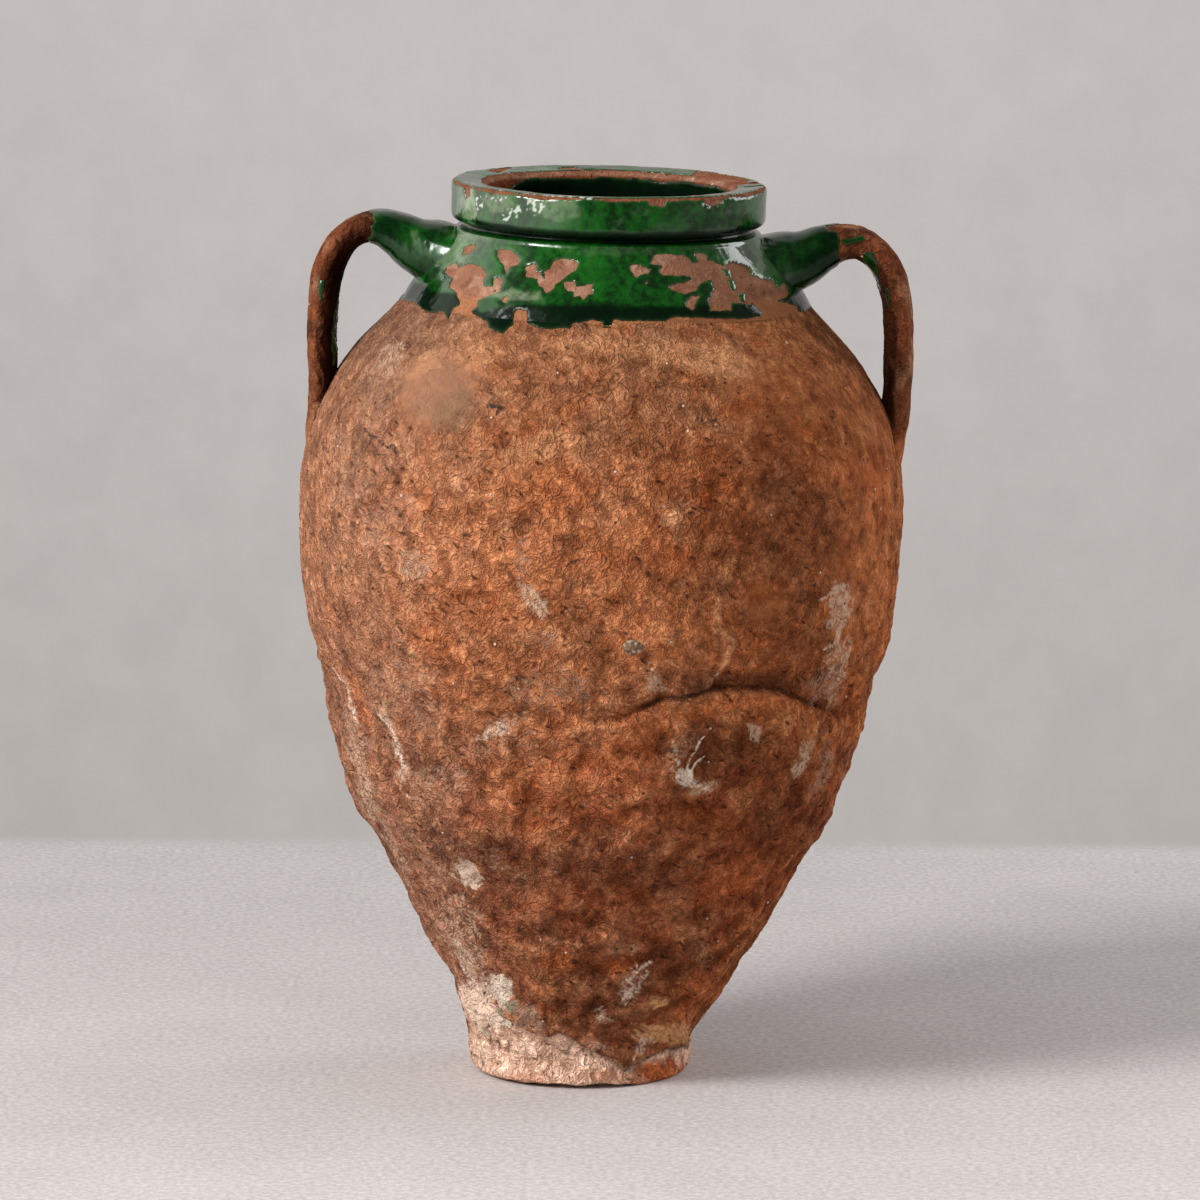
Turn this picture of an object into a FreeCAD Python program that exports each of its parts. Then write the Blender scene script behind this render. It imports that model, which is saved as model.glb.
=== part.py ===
import FreeCAD, Part
import os
import re

import Sketcher
from FreeCAD import Vector

# A two-handled clay olive jar. It leans a little to its right, and its wall stands
# off-centre on the foot. Every wall piece is turned about the jar's own leaning axis,
# with heights measured along that axis from the middle of the foot's underside.

doc = FreeCAD.newDocument("OliveJar")

# Each size is (name, value, meaning). Lengths are in millimetres, angles in degrees.
SIZES = (
    ("lean_angle", 1.4, "lean of the jar's axis towards its right"),
    ("axis_offset", 6, "distance from the foot's axis to the wall's axis"),
    ("cut_overrun", 5, "how far a cutter runs past what it cuts"),
    ("wall_thickness", 14, "thickness of the thrown wall, measured level"),
    ("base_wall_thickness", 20, "thickness of the wall where it meets the foot"),
    ("seam_bevel", 8, "height of the slanted joint between two thrown sections"),
    ("foot_radius", 76.7, "radius of the foot"),
    ("foot_height", 30, "height of the foot disc along its axis"),
    ("foot_edge", 7, "rounding of the foot's lower edge"),
    ("foot_overhang", 3.3, "how far the wall's lower end is wider than the foot"),
    ("lower_wall_height", 255, "height of the lowest thrown section"),
    ("seam_inset", 14.8, "radius lost from the belly down to the seam"),
    ("flank_height_share", 0.62, "where the straight flank turns into the haunch"),
    ("flank_radius_share", 0.764, "radius gained up to that turn"),
    ("flank_bow_height_share", 0.468, "middle of the flank, hollowed a little"),
    ("flank_bow_radius_share", 0.444, "radius gained up to the flank's middle"),
    ("haunch_bow_height_share", 0.443, "middle of the haunch"),
    ("haunch_bow_radius_share", 0.547, "radius gained up to the haunch's middle"),
    ("belly_height", 110, "height of the middle thrown section"),
    ("belly_radius", 207.3, "largest radius of the jar"),
    ("belly_bow_height_share", 0.418, "middle of the belly's curve"),
    ("belly_bow_radius_share", 0.75, "radius gained up to the belly's middle"),
    ("shoulder_height", 145, "height of the top thrown section"),
    ("shoulder_top_radius", 137.5, "radius of the shoulder where the neck starts"),
    ("crest_height_share", 0.51, "where the shoulder starts to fall away"),
    ("crest_radius_share", 0.199, "radius lost up to there"),
    ("crest_bow_height_share", 0.54, "middle of the shoulder's first curve"),
    ("crest_bow_radius_share", 0.252, "radius lost up to that middle"),
    ("slope_height_share", 0.855, "where the shoulder becomes a straight slope"),
    ("slope_radius_share", 0.713, "radius lost up to there"),
    ("slope_bow_height_share", 0.56, "middle of the shoulder's second curve"),
    ("slope_bow_radius_share", 0.465, "radius lost up to that middle"),
    ("neck_height", 51, "height of the neck"),
    ("neck_step", 1, "how far the neck's base stands inside the shoulder's edge"),
    ("neck_base_height", 5, "height of that base"),
    ("neck_roll_height", 11, "height of the roll above the base"),
    ("neck_roll_depth", 4.5, "radius lost over the roll"),
    ("roll_bow_height_share", 0.54, "middle of the roll"),
    ("roll_bow_radius_share", 0.26, "radius lost up to the roll's middle"),
    ("neck_top_wall", 16.4, "thickness of the neck's top"),
    ("groove_depth", 5.3, "depth of the groove between ledge and rim"),
    ("ledge_drop", 5.5, "height of that groove below the neck's top"),
    ("groove_drop", 2, "height of the groove's upright floor"),
    ("rim_height", 29, "height of the rim"),
    ("rim_overhang", 8.3, "how far the rim band stands out from the groove's floor"),
    ("rim_underside", 2, "rise of the rim's underside"),
    ("rim_round_share", 0.85, "share of the overhang that is rounded off below"),
    ("rim_upper_edge", 3, "rounding of the rim's upper edge"),
    ("rim_dish", 2, "fall of the rim's top towards the mouth"),
    ("lip_edge", 4, "slant of the mouth's top edge"),
    ("mouth_radius", 82.6, "radius of the mouth in the clay"),
    ("handle_thickness", 20, "thickness of the strap handle"),
    ("handle_width", 42, "width of the strap handle"),
    ("left_inset", 12.3, "how far the left handle's centre line stays inside the belly's radius"),
    ("right_inset", 6.3, "how far the right handle's centre line stays inside the belly's radius"),
    ("left_sink", 20, "depth of the left leg's end below the belly's surface"),
    ("right_sink", 13, "depth of the right leg's end below the belly's surface"),
    ("left_crown_rise", 18, "height of the left arch's crown above the arm's seat"),
    ("right_crown_rise", 15.4, "height of the right arch's crown above the arm's seat"),
    ("arch_room_share", 0.4775, "share of the room between neck and leg that the arch's radius takes"),
    ("arm_seat_share", 0.373, "where the arm's centre line meets the slope of the neck"),
    ("arm_depth", 14, "depth of the arm's end below the neck's surface"),
    ("lute_start_share", 0.18, "share of the arm that is free of luting clay"),
    ("lute_lip", 1.5, "height of the luting clay's thin end"),
    ("lute_flare", 12, "height of the luting clay at the arm's inner end"),
    ("glaze_thickness", 0.8, "thickness of the glaze coat"),
    ("bare_lip", 6, "height of the unglazed band inside the mouth's edge"),
    ("mouth_glaze_share", 0.9, "share of the neck's inside that the glaze runs down"),
    ("rim_glaze_share", 0.45, "share of the rim's top that still carries glaze"),
    ("pebble_radius", 6, "radius of the stone that sits in the belly's wall"),
    ("pebble_depth", 2.5, "depth of the stone's middle below the wall's surface"),
    ("pebble_angle", -83.5, "direction of the stone about the axis"),
)
NAMES = {name for name, value, meaning in SIZES}

sheet = doc.addObject("Spreadsheet::Sheet", "Sizes")
for row, (name, value, meaning) in enumerate(SIZES, 1):
    sheet.set(f"A{row}", name)
    sheet.set(f"B{row}", str(value))
    sheet.set(f"C{row}", meaning)
    sheet.setAlias(f"B{row}", name)
doc.recompute()


def bound(text):
    """The text as an expression, with each size's name pointed at its cell."""
    return re.sub(r"[a-z_]+", lambda word: "Sizes." + word[0] if word[0] in NAMES else word[0], text)


def between(start, end, share):
    return f"({start} + ({end} - ({start})) * {share})"


# Heights of the joints, stacked along the axis
FOOT_TOP = "foot_height"
SEAM = f"({FOOT_TOP} + lower_wall_height)"
BELLY_TOP = f"({SEAM} + belly_height)"
SHOULDER_TOP = f"({BELLY_TOP} + shoulder_height)"
NECK_TOP = f"({SHOULDER_TOP} + neck_height)"
RIM_TOP = f"({NECK_TOP} + rim_height)"
LEDGE = f"({NECK_TOP} - ledge_drop)"

# Radii that follow from others
WALL_FOOT = "(foot_radius + foot_overhang)"
SEAM_RADIUS = "(belly_radius - seam_inset)"
NECK_FOOT = "(shoulder_top_radius - neck_step)"
GROOVE = "(mouth_radius + neck_top_wall)"
LEDGE_RADIUS = f"({GROOVE} + groove_depth)"
RIM_RADIUS = f"({GROOVE} + rim_overhang)"
RIM_ROUND = "(rim_overhang * rim_round_share)"

# Stations of the outer outline, each (radius, height)
FLANK = (
    between(WALL_FOOT, SEAM_RADIUS, "flank_radius_share"),
    between(FOOT_TOP, SEAM, "flank_height_share"),
)
FLANK_BOW = (
    between(WALL_FOOT, FLANK[0], "flank_bow_radius_share"),
    between(FOOT_TOP, FLANK[1], "flank_bow_height_share"),
)
HAUNCH_BOW = (
    between(FLANK[0], SEAM_RADIUS, "haunch_bow_radius_share"),
    between(FLANK[1], SEAM, "haunch_bow_height_share"),
)
BELLY_BOW = (
    between(SEAM_RADIUS, "belly_radius", "belly_bow_radius_share"),
    between(SEAM, BELLY_TOP, "belly_bow_height_share"),
)
CREST = (
    between("belly_radius", "shoulder_top_radius", "crest_radius_share"),
    between(BELLY_TOP, SHOULDER_TOP, "crest_height_share"),
)
CREST_BOW = (
    between("belly_radius", CREST[0], "crest_bow_radius_share"),
    between(BELLY_TOP, CREST[1], "crest_bow_height_share"),
)
SLOPE = (
    between("belly_radius", "shoulder_top_radius", "slope_radius_share"),
    between(BELLY_TOP, SHOULDER_TOP, "slope_height_share"),
)
SLOPE_BOW = (
    between(CREST[0], SLOPE[0], "slope_bow_radius_share"),
    between(CREST[1], SLOPE[1], "slope_bow_height_share"),
)
NECK_BASE = (NECK_FOOT, f"({SHOULDER_TOP} + neck_base_height)")
NECK_ROLL = (f"({NECK_FOOT} - neck_roll_depth)", f"({NECK_BASE[1]} + neck_roll_height)")
ROLL_BOW = (
    between(NECK_BASE[0], NECK_ROLL[0], "roll_bow_radius_share"),
    between(NECK_BASE[1], NECK_ROLL[1], "roll_bow_height_share"),
)


def moved(station, out="0", up="0"):
    return (f"({station[0]} + {out})", f"({station[1]} + {up})")


def inside(station):
    return moved(station, out="-wall_thickness")


def value_of(sketch, text):
    return float(sketch.evalExpression(bound(text)))


def hold(sketch, geometry, end, station):
    """Ties one end of a sketch element to a station, as distances from the sketch's origin."""
    for kind, axis, text in (("DistanceX", -2, station[0]), ("DistanceY", -1, station[1])):
        if text == "0":
            sketch.addConstraint(Sketcher.Constraint("PointOnObject", geometry, end, axis))
            continue
        value = value_of(sketch, text)
        index = sketch.addConstraint(Sketcher.Constraint(kind, -1, 1, geometry, end, value))
        sketch.renameConstraint(index, f"{kind}_{index}")
        sketch.setExpression(f"Constraints.{kind}_{index}", bound(text))


def point_at(sketch, station):
    return Vector(value_of(sketch, station[0]), value_of(sketch, station[1]), 0)


def draw(sketch, corners, closed=True):
    """Joins corners with lines, or with an arc where a corner brings a station for the arc to pass.

    A corner is (station,) or (station, arc_station). The edge starts at its corner and runs to
    the next one.
    """
    edges = []
    stations = [corner[0] for corner in corners]
    points = [point_at(sketch, station) for station in stations]
    last = len(corners) if closed else len(corners) - 1
    for index in range(last):
        start = points[index]
        finish = points[(index + 1) % len(points)]
        if len(corners[index]) == 1:
            geometry = sketch.addGeometry(Part.LineSegment(start, finish), False)
        else:
            middle = point_at(sketch, corners[index][1])
            geometry = sketch.addGeometry(Part.Arc(start, middle, finish), False)
        first = sketch.getPoint(geometry, 1)
        forward = (first - start).Length < (first - finish).Length
        edges.append((geometry, 1, 2) if forward else (geometry, 2, 1))
    for index, (geometry, start, finish) in enumerate(edges):
        hold(sketch, geometry, start, stations[index])
        if index + 1 < len(edges) or closed:
            following, following_start, _ = edges[(index + 1) % len(edges)]
            joint = Sketcher.Constraint("Coincident", geometry, finish, following, following_start)
            sketch.addConstraint(joint)
        else:
            hold(sketch, geometry, finish, stations[index + 1])
        if len(corners[index]) > 1:
            mark = sketch.addGeometry(Part.Point(point_at(sketch, corners[index][1])), True)
            sketch.addConstraint(Sketcher.Constraint("PointOnObject", mark, 1, geometry))
            hold(sketch, mark, 1, corners[index][1])


def new_body(name):
    body = doc.addObject("PartDesign::Body", name + "_body")
    body.Label = name
    return body


def new_sketch(body, name, role):
    sketch = body.newObject("Sketcher::SketchObject", name)
    plane = next(feature for feature in body.Origin.OriginFeatures if feature.Role == role)
    sketch.AttachmentSupport = [(plane, "")]
    sketch.MapMode = "FlatFace"
    doc.recompute()
    return sketch


def turned(body, name, corners, kind="PartDesign::Revolution"):
    """A full turn of a closed outline about the body's own upright axis."""
    sketch = new_sketch(body, name + "_outline", "XZ_Plane")
    draw(sketch, corners)
    feature = body.newObject(kind, name)
    feature.Profile = sketch
    feature.ReferenceAxis = (sketch, ["V_Axis"])
    feature.Angle = 360
    doc.recompute()
    return feature


def stand(item, yaw=0, offset="axis_offset"):
    """Leans a piece with the jar, turned by yaw about the jar's axis."""
    lean = "lean_angle * 1 deg"
    place = f"create(<<vector>>; {offset} * cos({lean}); 0; -{offset} * sin({lean}))"
    turn = f"create(<<rotation>>; {yaw}; {'-' if yaw else ''}lean_angle; 0)"
    item.setExpression("Placement", bound(f"create(<<placement>>; {place}; {turn})"))


def cut(name, base, tool):
    base.Label = name + "_uncut"
    piece = doc.addObject("Part::Cut", name + "_cut")
    piece.Label = name
    piece.Base = base
    piece.Tool = tool
    return piece


def make_foot():
    """A solid disc with a rounded lower edge, cut level where it stands."""
    body = new_body("foot")
    under = "(foot_radius * tan(lean_angle * 1 deg) + cut_overrun)"
    turned(body, "FootDisc", [
        (("0", f"-{under}"),),
        (("foot_radius", f"-{under}"),),
        (("foot_radius", FOOT_TOP),),
        (("0", FOOT_TOP),),
    ])
    ground = new_sketch(body, "Ground", "XY_Plane")
    ground.setExpression("AttachmentOffset", bound(
        "create(<<placement>>; create(<<vector>>; 0; 0; 0); create(<<rotation>>; 0; -lean_angle; 0))"))
    reach = "(foot_radius + cut_overrun)"
    draw(ground, [
        ((f"-{reach}", f"-{reach}"),),
        ((reach, f"-{reach}"),),
        ((reach, reach),),
        ((f"-{reach}", reach),),
    ])
    level = body.newObject("PartDesign::Pocket", "LevelCut")
    level.Profile = ground
    level.Type = "ThroughAll"
    doc.recompute()
    lowest = min(level.Shape.Edges, key=lambda edge: edge.CenterOfMass.z)
    number = next(i for i, edge in enumerate(level.Shape.Edges, 1) if edge.isSame(lowest))
    rounding = body.newObject("PartDesign::Fillet", "LowerEdge")
    rounding.Base = (level, [f"Edge{number}"])
    rounding.setExpression("Radius", bound("foot_edge"))
    stand(body, offset="0")
    return body


def make_lower_wall():
    body = new_body("lower_wall")
    inner_foot = (f"({WALL_FOOT} - base_wall_thickness)", FOOT_TOP)
    turned(body, "LowerWall", [
        ((WALL_FOOT, FOOT_TOP), FLANK_BOW),
        (FLANK, HAUNCH_BOW),
        ((SEAM_RADIUS, SEAM),),
        (moved(inside((SEAM_RADIUS, SEAM)), up="seam_bevel"), inside(HAUNCH_BOW)),
        (inside(FLANK), inside(FLANK_BOW)),
        (inner_foot,),
    ])
    stand(body)
    return body


def make_belly_wall(pebble):
    """The widest section, with a socket for the stone that fired into it."""
    body = new_body("belly_wall")
    turned(body, "BellyWall", [
        ((SEAM_RADIUS, SEAM), BELLY_BOW),
        (("belly_radius", BELLY_TOP),),
        (moved(inside(("belly_radius", BELLY_TOP)), up="seam_bevel"), inside(BELLY_BOW)),
        (moved(inside((SEAM_RADIUS, SEAM)), up="seam_bevel"),),
    ])
    stand(body)
    return cut("belly_wall", body, pebble)


def make_shoulder_wall():
    body = new_body("shoulder_wall")
    inner_top = ("(shoulder_top_radius - wall_thickness)", SHOULDER_TOP)
    turned(body, "ShoulderWall", [
        (("belly_radius", BELLY_TOP), CREST_BOW),
        (CREST, SLOPE_BOW),
        (SLOPE,),
        (("shoulder_top_radius", SHOULDER_TOP),),
        (inner_top,),
        (inside(SLOPE), inside(SLOPE_BOW)),
        (inside(CREST), inside(CREST_BOW)),
        (moved(inside(("belly_radius", BELLY_TOP)), up="seam_bevel"),),
    ])
    stand(body)
    return body


def make_neck():
    body = new_body("neck")
    turned(body, "Neck", [
        ((NECK_FOOT, SHOULDER_TOP),),
        (NECK_BASE, ROLL_BOW),
        (NECK_ROLL,),
        ((LEDGE_RADIUS, LEDGE),),
        ((GROOVE, f"({NECK_TOP} - groove_drop)"),),
        ((GROOVE, NECK_TOP),),
        (("mouth_radius", NECK_TOP),),
        (("(shoulder_top_radius - wall_thickness)", SHOULDER_TOP),),
    ])
    stand(body)
    return body


def quarter(centre, radius, across, up):
    """The middle of a quarter round about a centre, towards (across, up), each 1 or -1."""
    reach = f"{radius} * cos(45 deg)"
    return (f"({centre[0]} + {across} * {reach})", f"({centre[1]} + {up} * {reach})")


RIM_LOW = (
    f"({RIM_RADIUS} - {RIM_ROUND})",
    f"({NECK_TOP} + rim_underside + {RIM_ROUND})",
)
RIM_HIGH = (f"({RIM_RADIUS} - rim_upper_edge)", f"({RIM_TOP} - rim_upper_edge)")


def make_rim():
    body = new_body("rim")
    turned(body, "Rim", [
        ((GROOVE, NECK_TOP),),
        (moved(RIM_LOW, up=f"-{RIM_ROUND}"), quarter(RIM_LOW, RIM_ROUND, 1, -1)),
        ((RIM_RADIUS, RIM_LOW[1]),),
        ((RIM_RADIUS, RIM_HIGH[1]), quarter(RIM_HIGH, "rim_upper_edge", 1, 1)),
        ((RIM_HIGH[0], RIM_TOP),),
        (("(mouth_radius + lip_edge)", f"({RIM_TOP} - rim_dish)"),),
        (("mouth_radius", f"({RIM_TOP} - rim_dish - lip_edge)"),),
        (("mouth_radius", NECK_TOP),),
    ])
    stand(body)
    return body


def tangent_angle(middle, radius, station, turn):
    """Direction, seen from a circle's middle, of the point where a line from a station touches it."""
    rise = f"({station[1]} - {middle[1]})"
    if turn == "outer":
        across = f"({station[0]} - {middle[0]})"
        return f"(atan2({rise}; {across}) + acos({radius} / hypot({across}; {rise})))"
    across = f"({middle[0]} - {station[0]})"
    return f"(180 deg - atan2({rise}; {across}) - acos({radius} / hypot({across}; {rise})))"


def handle_route(side):
    """Stations of a handle's centre line, from the leg's end up, over the arch and into the neck.

    The leg and the arm are straight and touch the arch's circle.
    """
    seat_share = "arm_seat_share"
    seat = (
        between(NECK_ROLL[0], LEDGE_RADIUS, seat_share),
        between(NECK_ROLL[1], LEDGE, seat_share),
    )
    reach = f"(belly_radius - {side}_inset)"
    radius = f"(arch_room_share * ({reach} - {seat[0]}))"
    middle = (f"({reach} - {radius})", f"({seat[1]} + {side}_crown_rise - {radius})")
    leg_end = (f"(belly_radius - {side}_sink)", BELLY_TOP)
    arm_end = moved(seat, "-arm_depth")
    leg = tangent_angle(middle, radius, leg_end, "outer")
    arm = tangent_angle(middle, radius, arm_end, "inner")

    def arch_point(angle):
        return (
            f"({middle[0]} + {radius} * cos({angle}))",
            f"({middle[1]} + {radius} * sin({angle}))",
        )

    arm_start = arch_point(arm)
    return {
        "leg_end": leg_end,
        "leg_top": arch_point(leg),
        "arch_bow": arch_point(f"(({leg} + {arm}) / 2)"),
        "crown": arch_point("(90 deg)"),
        "crown_bow": arch_point(f"((90 deg + {arm}) / 2)"),
        "arm_start": arm_start,
        "arm_end": arm_end,
        "arm_fall": f"({arm} - 90 deg)",
        "lute_start": tuple(between(a, b, "lute_start_share") for a, b in zip(arm_start, arm_end)),
    }


def strap_section(sketch, middle, extra, across_first):
    """A strap with round edges, extra thicker on each side. The first axis is the strap's
    thickness, or its width where across_first is true."""
    half = f"(handle_thickness / 2 + {extra})"
    flat = "(handle_width - handle_thickness) / 2"
    tip = f"({flat} + {half})"

    def station(thick, wide):
        pair = (wide, thick) if across_first else (thick, wide)
        return tuple(f"({a} + {b})" for a, b in zip(middle, pair))

    draw(sketch, [
        (station(f"-{half}", f"-{flat}"),),
        (station(f"-{half}", flat), station("0", tip)),
        (station(half, flat),),
        (station(half, f"-{flat}"), station("0", f"-{tip}")),
    ])


def swept(body, name, kind, section, route, edges):
    feature = body.newObject(kind, name)
    feature.Profile = section
    feature.Spine = (route, [f"Edge{number}" for number in range(1, edges + 1)])
    doc.recompute()
    return feature


def jar_form(out):
    """The jar's outside from the belly up past the rim, as a closed outline, out larger."""
    rim_coat = f"({RIM_RADIUS} + glaze_thickness)"
    top = f"({RIM_TOP} + cut_overrun)"
    return [
        (("0", f"({BELLY_TOP} - cut_overrun)"),),
        (moved(("belly_radius", BELLY_TOP), out, "-cut_overrun"),),
        (moved(("belly_radius", BELLY_TOP), out), moved(CREST_BOW, out)),
        (moved(CREST, out), moved(SLOPE_BOW, out)),
        (moved(SLOPE, out),),
        (moved(("shoulder_top_radius", SHOULDER_TOP), out),),
        (moved((NECK_FOOT, SHOULDER_TOP), out),),
        (moved(NECK_BASE, out), moved(ROLL_BOW, out)),
        (moved(NECK_ROLL, out),),
        (moved((LEDGE_RADIUS, LEDGE), out),),
        (moved((LEDGE_RADIUS, NECK_TOP), out),),
        (moved((rim_coat, NECK_TOP), out),),
        (moved((rim_coat, top), out),),
        (("0", top),),
    ]


def trim_to_jar(body, name, out="0"):
    """Cuts a handle piece back to the jar's surface."""
    before = body.Shape.Volume
    turned(body, name, jar_form(out), kind="PartDesign::Groove")
    if not body.Shape.Volume < before:
        raise RuntimeError(f"{body.Label} was not trimmed")


def make_handle(side, yaw):
    body = new_body(f"{side}_handle")
    route = handle_route(side)
    path = new_sketch(body, f"{side}_route", "XZ_Plane")
    draw(path, [
        (route["leg_end"],),
        (route["leg_top"], route["arch_bow"]),
        (route["arm_start"],),
        (route["arm_end"],),
    ], closed=False)
    section = new_sketch(body, f"{side}_section", "XY_Plane")
    section.setExpression("AttachmentOffset.Base.z", bound(route["leg_end"][1]))
    strap_section(section, (route["leg_end"][0], "0"), "0", across_first=False)
    doc.recompute()
    swept(body, f"{side}_strap", "PartDesign::AdditivePipe", section, path, 3)
    trim_to_jar(body, f"{side}_seat")
    stand(body, yaw)
    return body


def make_lute(side, yaw, handle):
    """The collar of soft clay that was smeared round the arm where it meets the neck."""
    body = new_body(f"{side}_handle_lute")
    route = handle_route(side)
    sections = []
    for end, extra in (("lute_start", "lute_lip"), ("arm_end", "lute_flare")):
        sketch = new_sketch(body, f"{side}_lute_{end}", "YZ_Plane")
        sketch.setExpression("AttachmentOffset", bound(
            f"create(<<placement>>; create(<<vector>>; 0; {route[end][1]}; {route[end][0]});"
            f" create(<<rotation>>; 0; 0; -{route['arm_fall']}))"))
        doc.recompute()
        strap_section(sketch, ("0", "0"), extra, across_first=True)
        sections.append(sketch)
    doc.recompute()
    flare = body.newObject("PartDesign::AdditiveLoft", f"{side}_flare")
    flare.Profile = sections[0]
    flare.Sections = sections[1:]
    flare.Ruled = True
    doc.recompute()
    trim_to_jar(body, f"{side}_lute_seat")
    stand(body, yaw)
    return cut(f"{side}_handle_lute", body, handle)


def make_handle_glaze(side, yaw, lute):
    """The glaze that is left on a handle, from the crown of its arch to the luting clay."""
    body = new_body(f"{side}_handle_glaze")
    route = handle_route(side)
    path = new_sketch(body, f"{side}_glaze_route", "XZ_Plane")
    draw(path, [
        (route["crown"], route["crown_bow"]),
        (route["arm_start"],),
        (route["arm_end"],),
    ], closed=False)
    for name, kind, extra in (
        ("coat", "PartDesign::AdditivePipe", "glaze_thickness"),
        ("core", "PartDesign::SubtractivePipe", "0"),
    ):
        section = new_sketch(body, f"{side}_glaze_{name}_section", "YZ_Plane")
        section.setExpression("AttachmentOffset.Base.z", bound(route["crown"][0]))
        strap_section(section, ("0", route["crown"][1]), extra, across_first=True)
        doc.recompute()
        swept(body, f"{side}_glaze_{name}", kind, section, path, 2)
    trim_to_jar(body, f"{side}_glaze_seat", "glaze_thickness")
    stand(body, yaw)
    return cut(f"{side}_handle_glaze", body, lute)


def make_rim_glaze():
    """Glaze on the rim's band, over its upper edge and part way across its top."""
    body = new_body("rim_glaze")
    coat = "glaze_thickness"
    stop = between(RIM_HIGH[0], "(mouth_radius + lip_edge)", "rim_glaze_share")
    stop_height = between(RIM_TOP, f"({RIM_TOP} - rim_dish)", "rim_glaze_share")
    turned(body, "RimGlaze", [
        ((RIM_RADIUS, RIM_LOW[1]),),
        ((f"({RIM_RADIUS} + {coat})", RIM_LOW[1]),),
        ((f"({RIM_RADIUS} + {coat})", RIM_HIGH[1]), quarter(RIM_HIGH, f"(rim_upper_edge + {coat})", 1, 1)),
        ((RIM_HIGH[0], f"({RIM_TOP} + {coat})"),),
        ((stop, f"({stop_height} + {coat})"),),
        ((stop, stop_height),),
        ((RIM_HIGH[0], RIM_TOP), quarter(RIM_HIGH, "rim_upper_edge", 1, 1)),
        ((RIM_RADIUS, RIM_HIGH[1]),),
    ])
    stand(body)
    return body


def make_neck_glaze(tool):
    """Glaze on the neck, from the ledge down to the neck's base, open round both arms."""
    body = new_body("neck_glaze")
    coat = "glaze_thickness"
    turned(body, "NeckGlaze", [
        ((NECK_FOOT, SHOULDER_TOP),),
        (moved((NECK_FOOT, SHOULDER_TOP), coat),),
        (moved(NECK_BASE, coat), moved(ROLL_BOW, coat)),
        (moved(NECK_ROLL, coat),),
        (moved((LEDGE_RADIUS, LEDGE), coat),),
        ((LEDGE_RADIUS, LEDGE),),
        (NECK_ROLL, ROLL_BOW),
        (NECK_BASE,),
    ])
    stand(body)
    return cut("neck_glaze", body, tool)


def make_mouth_glaze():
    """Glaze inside the mouth, from just below its bare edge down the neck's inside."""
    body = new_body("mouth_glaze")
    top = f"({RIM_TOP} - rim_dish - lip_edge - bare_lip)"
    low = (
        between("mouth_radius", "(shoulder_top_radius - wall_thickness)", "mouth_glaze_share"),
        between(NECK_TOP, SHOULDER_TOP, "mouth_glaze_share"),
    )
    coat = "-glaze_thickness"
    turned(body, "MouthGlaze", [
        (("mouth_radius", top),),
        (("mouth_radius", NECK_TOP),),
        (low,),
        (moved(low, coat),),
        (moved(("mouth_radius", NECK_TOP), coat),),
        (moved(("mouth_radius", top), coat),),
    ])
    stand(body)
    return body


def make_pebble():
    """A round stone, seated in the belly's wall at the middle of its curve."""
    pebble = doc.addObject("Part::Sphere", "wall_pebble")
    pebble.setExpression("Radius", bound("pebble_radius"))
    lean = "lean_angle * 1 deg"
    turn = "pebble_angle * 1 deg"
    out = f"({BELLY_BOW[0]} - pebble_depth)"
    across = f"(axis_offset + {out} * cos({turn}))"
    place = "; ".join((
        f"{across} * cos({lean}) + {BELLY_BOW[1]} * sin({lean})",
        f"{out} * sin({turn})",
        f"{BELLY_BOW[1]} * cos({lean}) - {across} * sin({lean})",
    ))
    turned_with_jar = "create(<<rotation>>; 0; lean_angle; 0)"
    pebble.setExpression("Placement", bound(
        f"create(<<placement>>; create(<<vector>>; {place}); {turned_with_jar})"))
    doc.recompute()
    return pebble


def make_jar():
    pebble = make_pebble()
    pieces = [make_foot(), make_lower_wall(), make_belly_wall(pebble), make_shoulder_wall()]
    pieces += [make_neck(), make_rim(), pebble]
    arms = []
    for side, yaw in (("left", 180), ("right", 0)):
        handle = make_handle(side, yaw)
        lute = make_lute(side, yaw, handle)
        pieces += [handle, lute, make_handle_glaze(side, yaw, lute)]
        arms += [handle, lute]
    arms_tool = doc.addObject("Part::MultiFuse", "arms_tool")
    arms_tool.Shapes = arms
    pieces += [make_rim_glaze(), make_neck_glaze(arms_tool), make_mouth_glaze()]
    return pieces


def write(pieces):
    doc.recompute()
    for item in doc.Objects:
        if "Invalid" in item.State or "Error" in item.State:
            raise RuntimeError(f"{item.Label} failed: {item.State}")
    for piece in pieces:
        if piece.Shape.isNull() or not piece.Shape.isValid():
            raise RuntimeError(f"{piece.Label} has no valid shape")
    os.makedirs("parts", exist_ok=True)
    for piece in pieces:
        piece.Shape.exportStep(f"parts/{piece.Label}.step")
        print(piece.Label, len(piece.Shape.Solids), round(piece.Shape.Volume))


write(make_jar())
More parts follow.
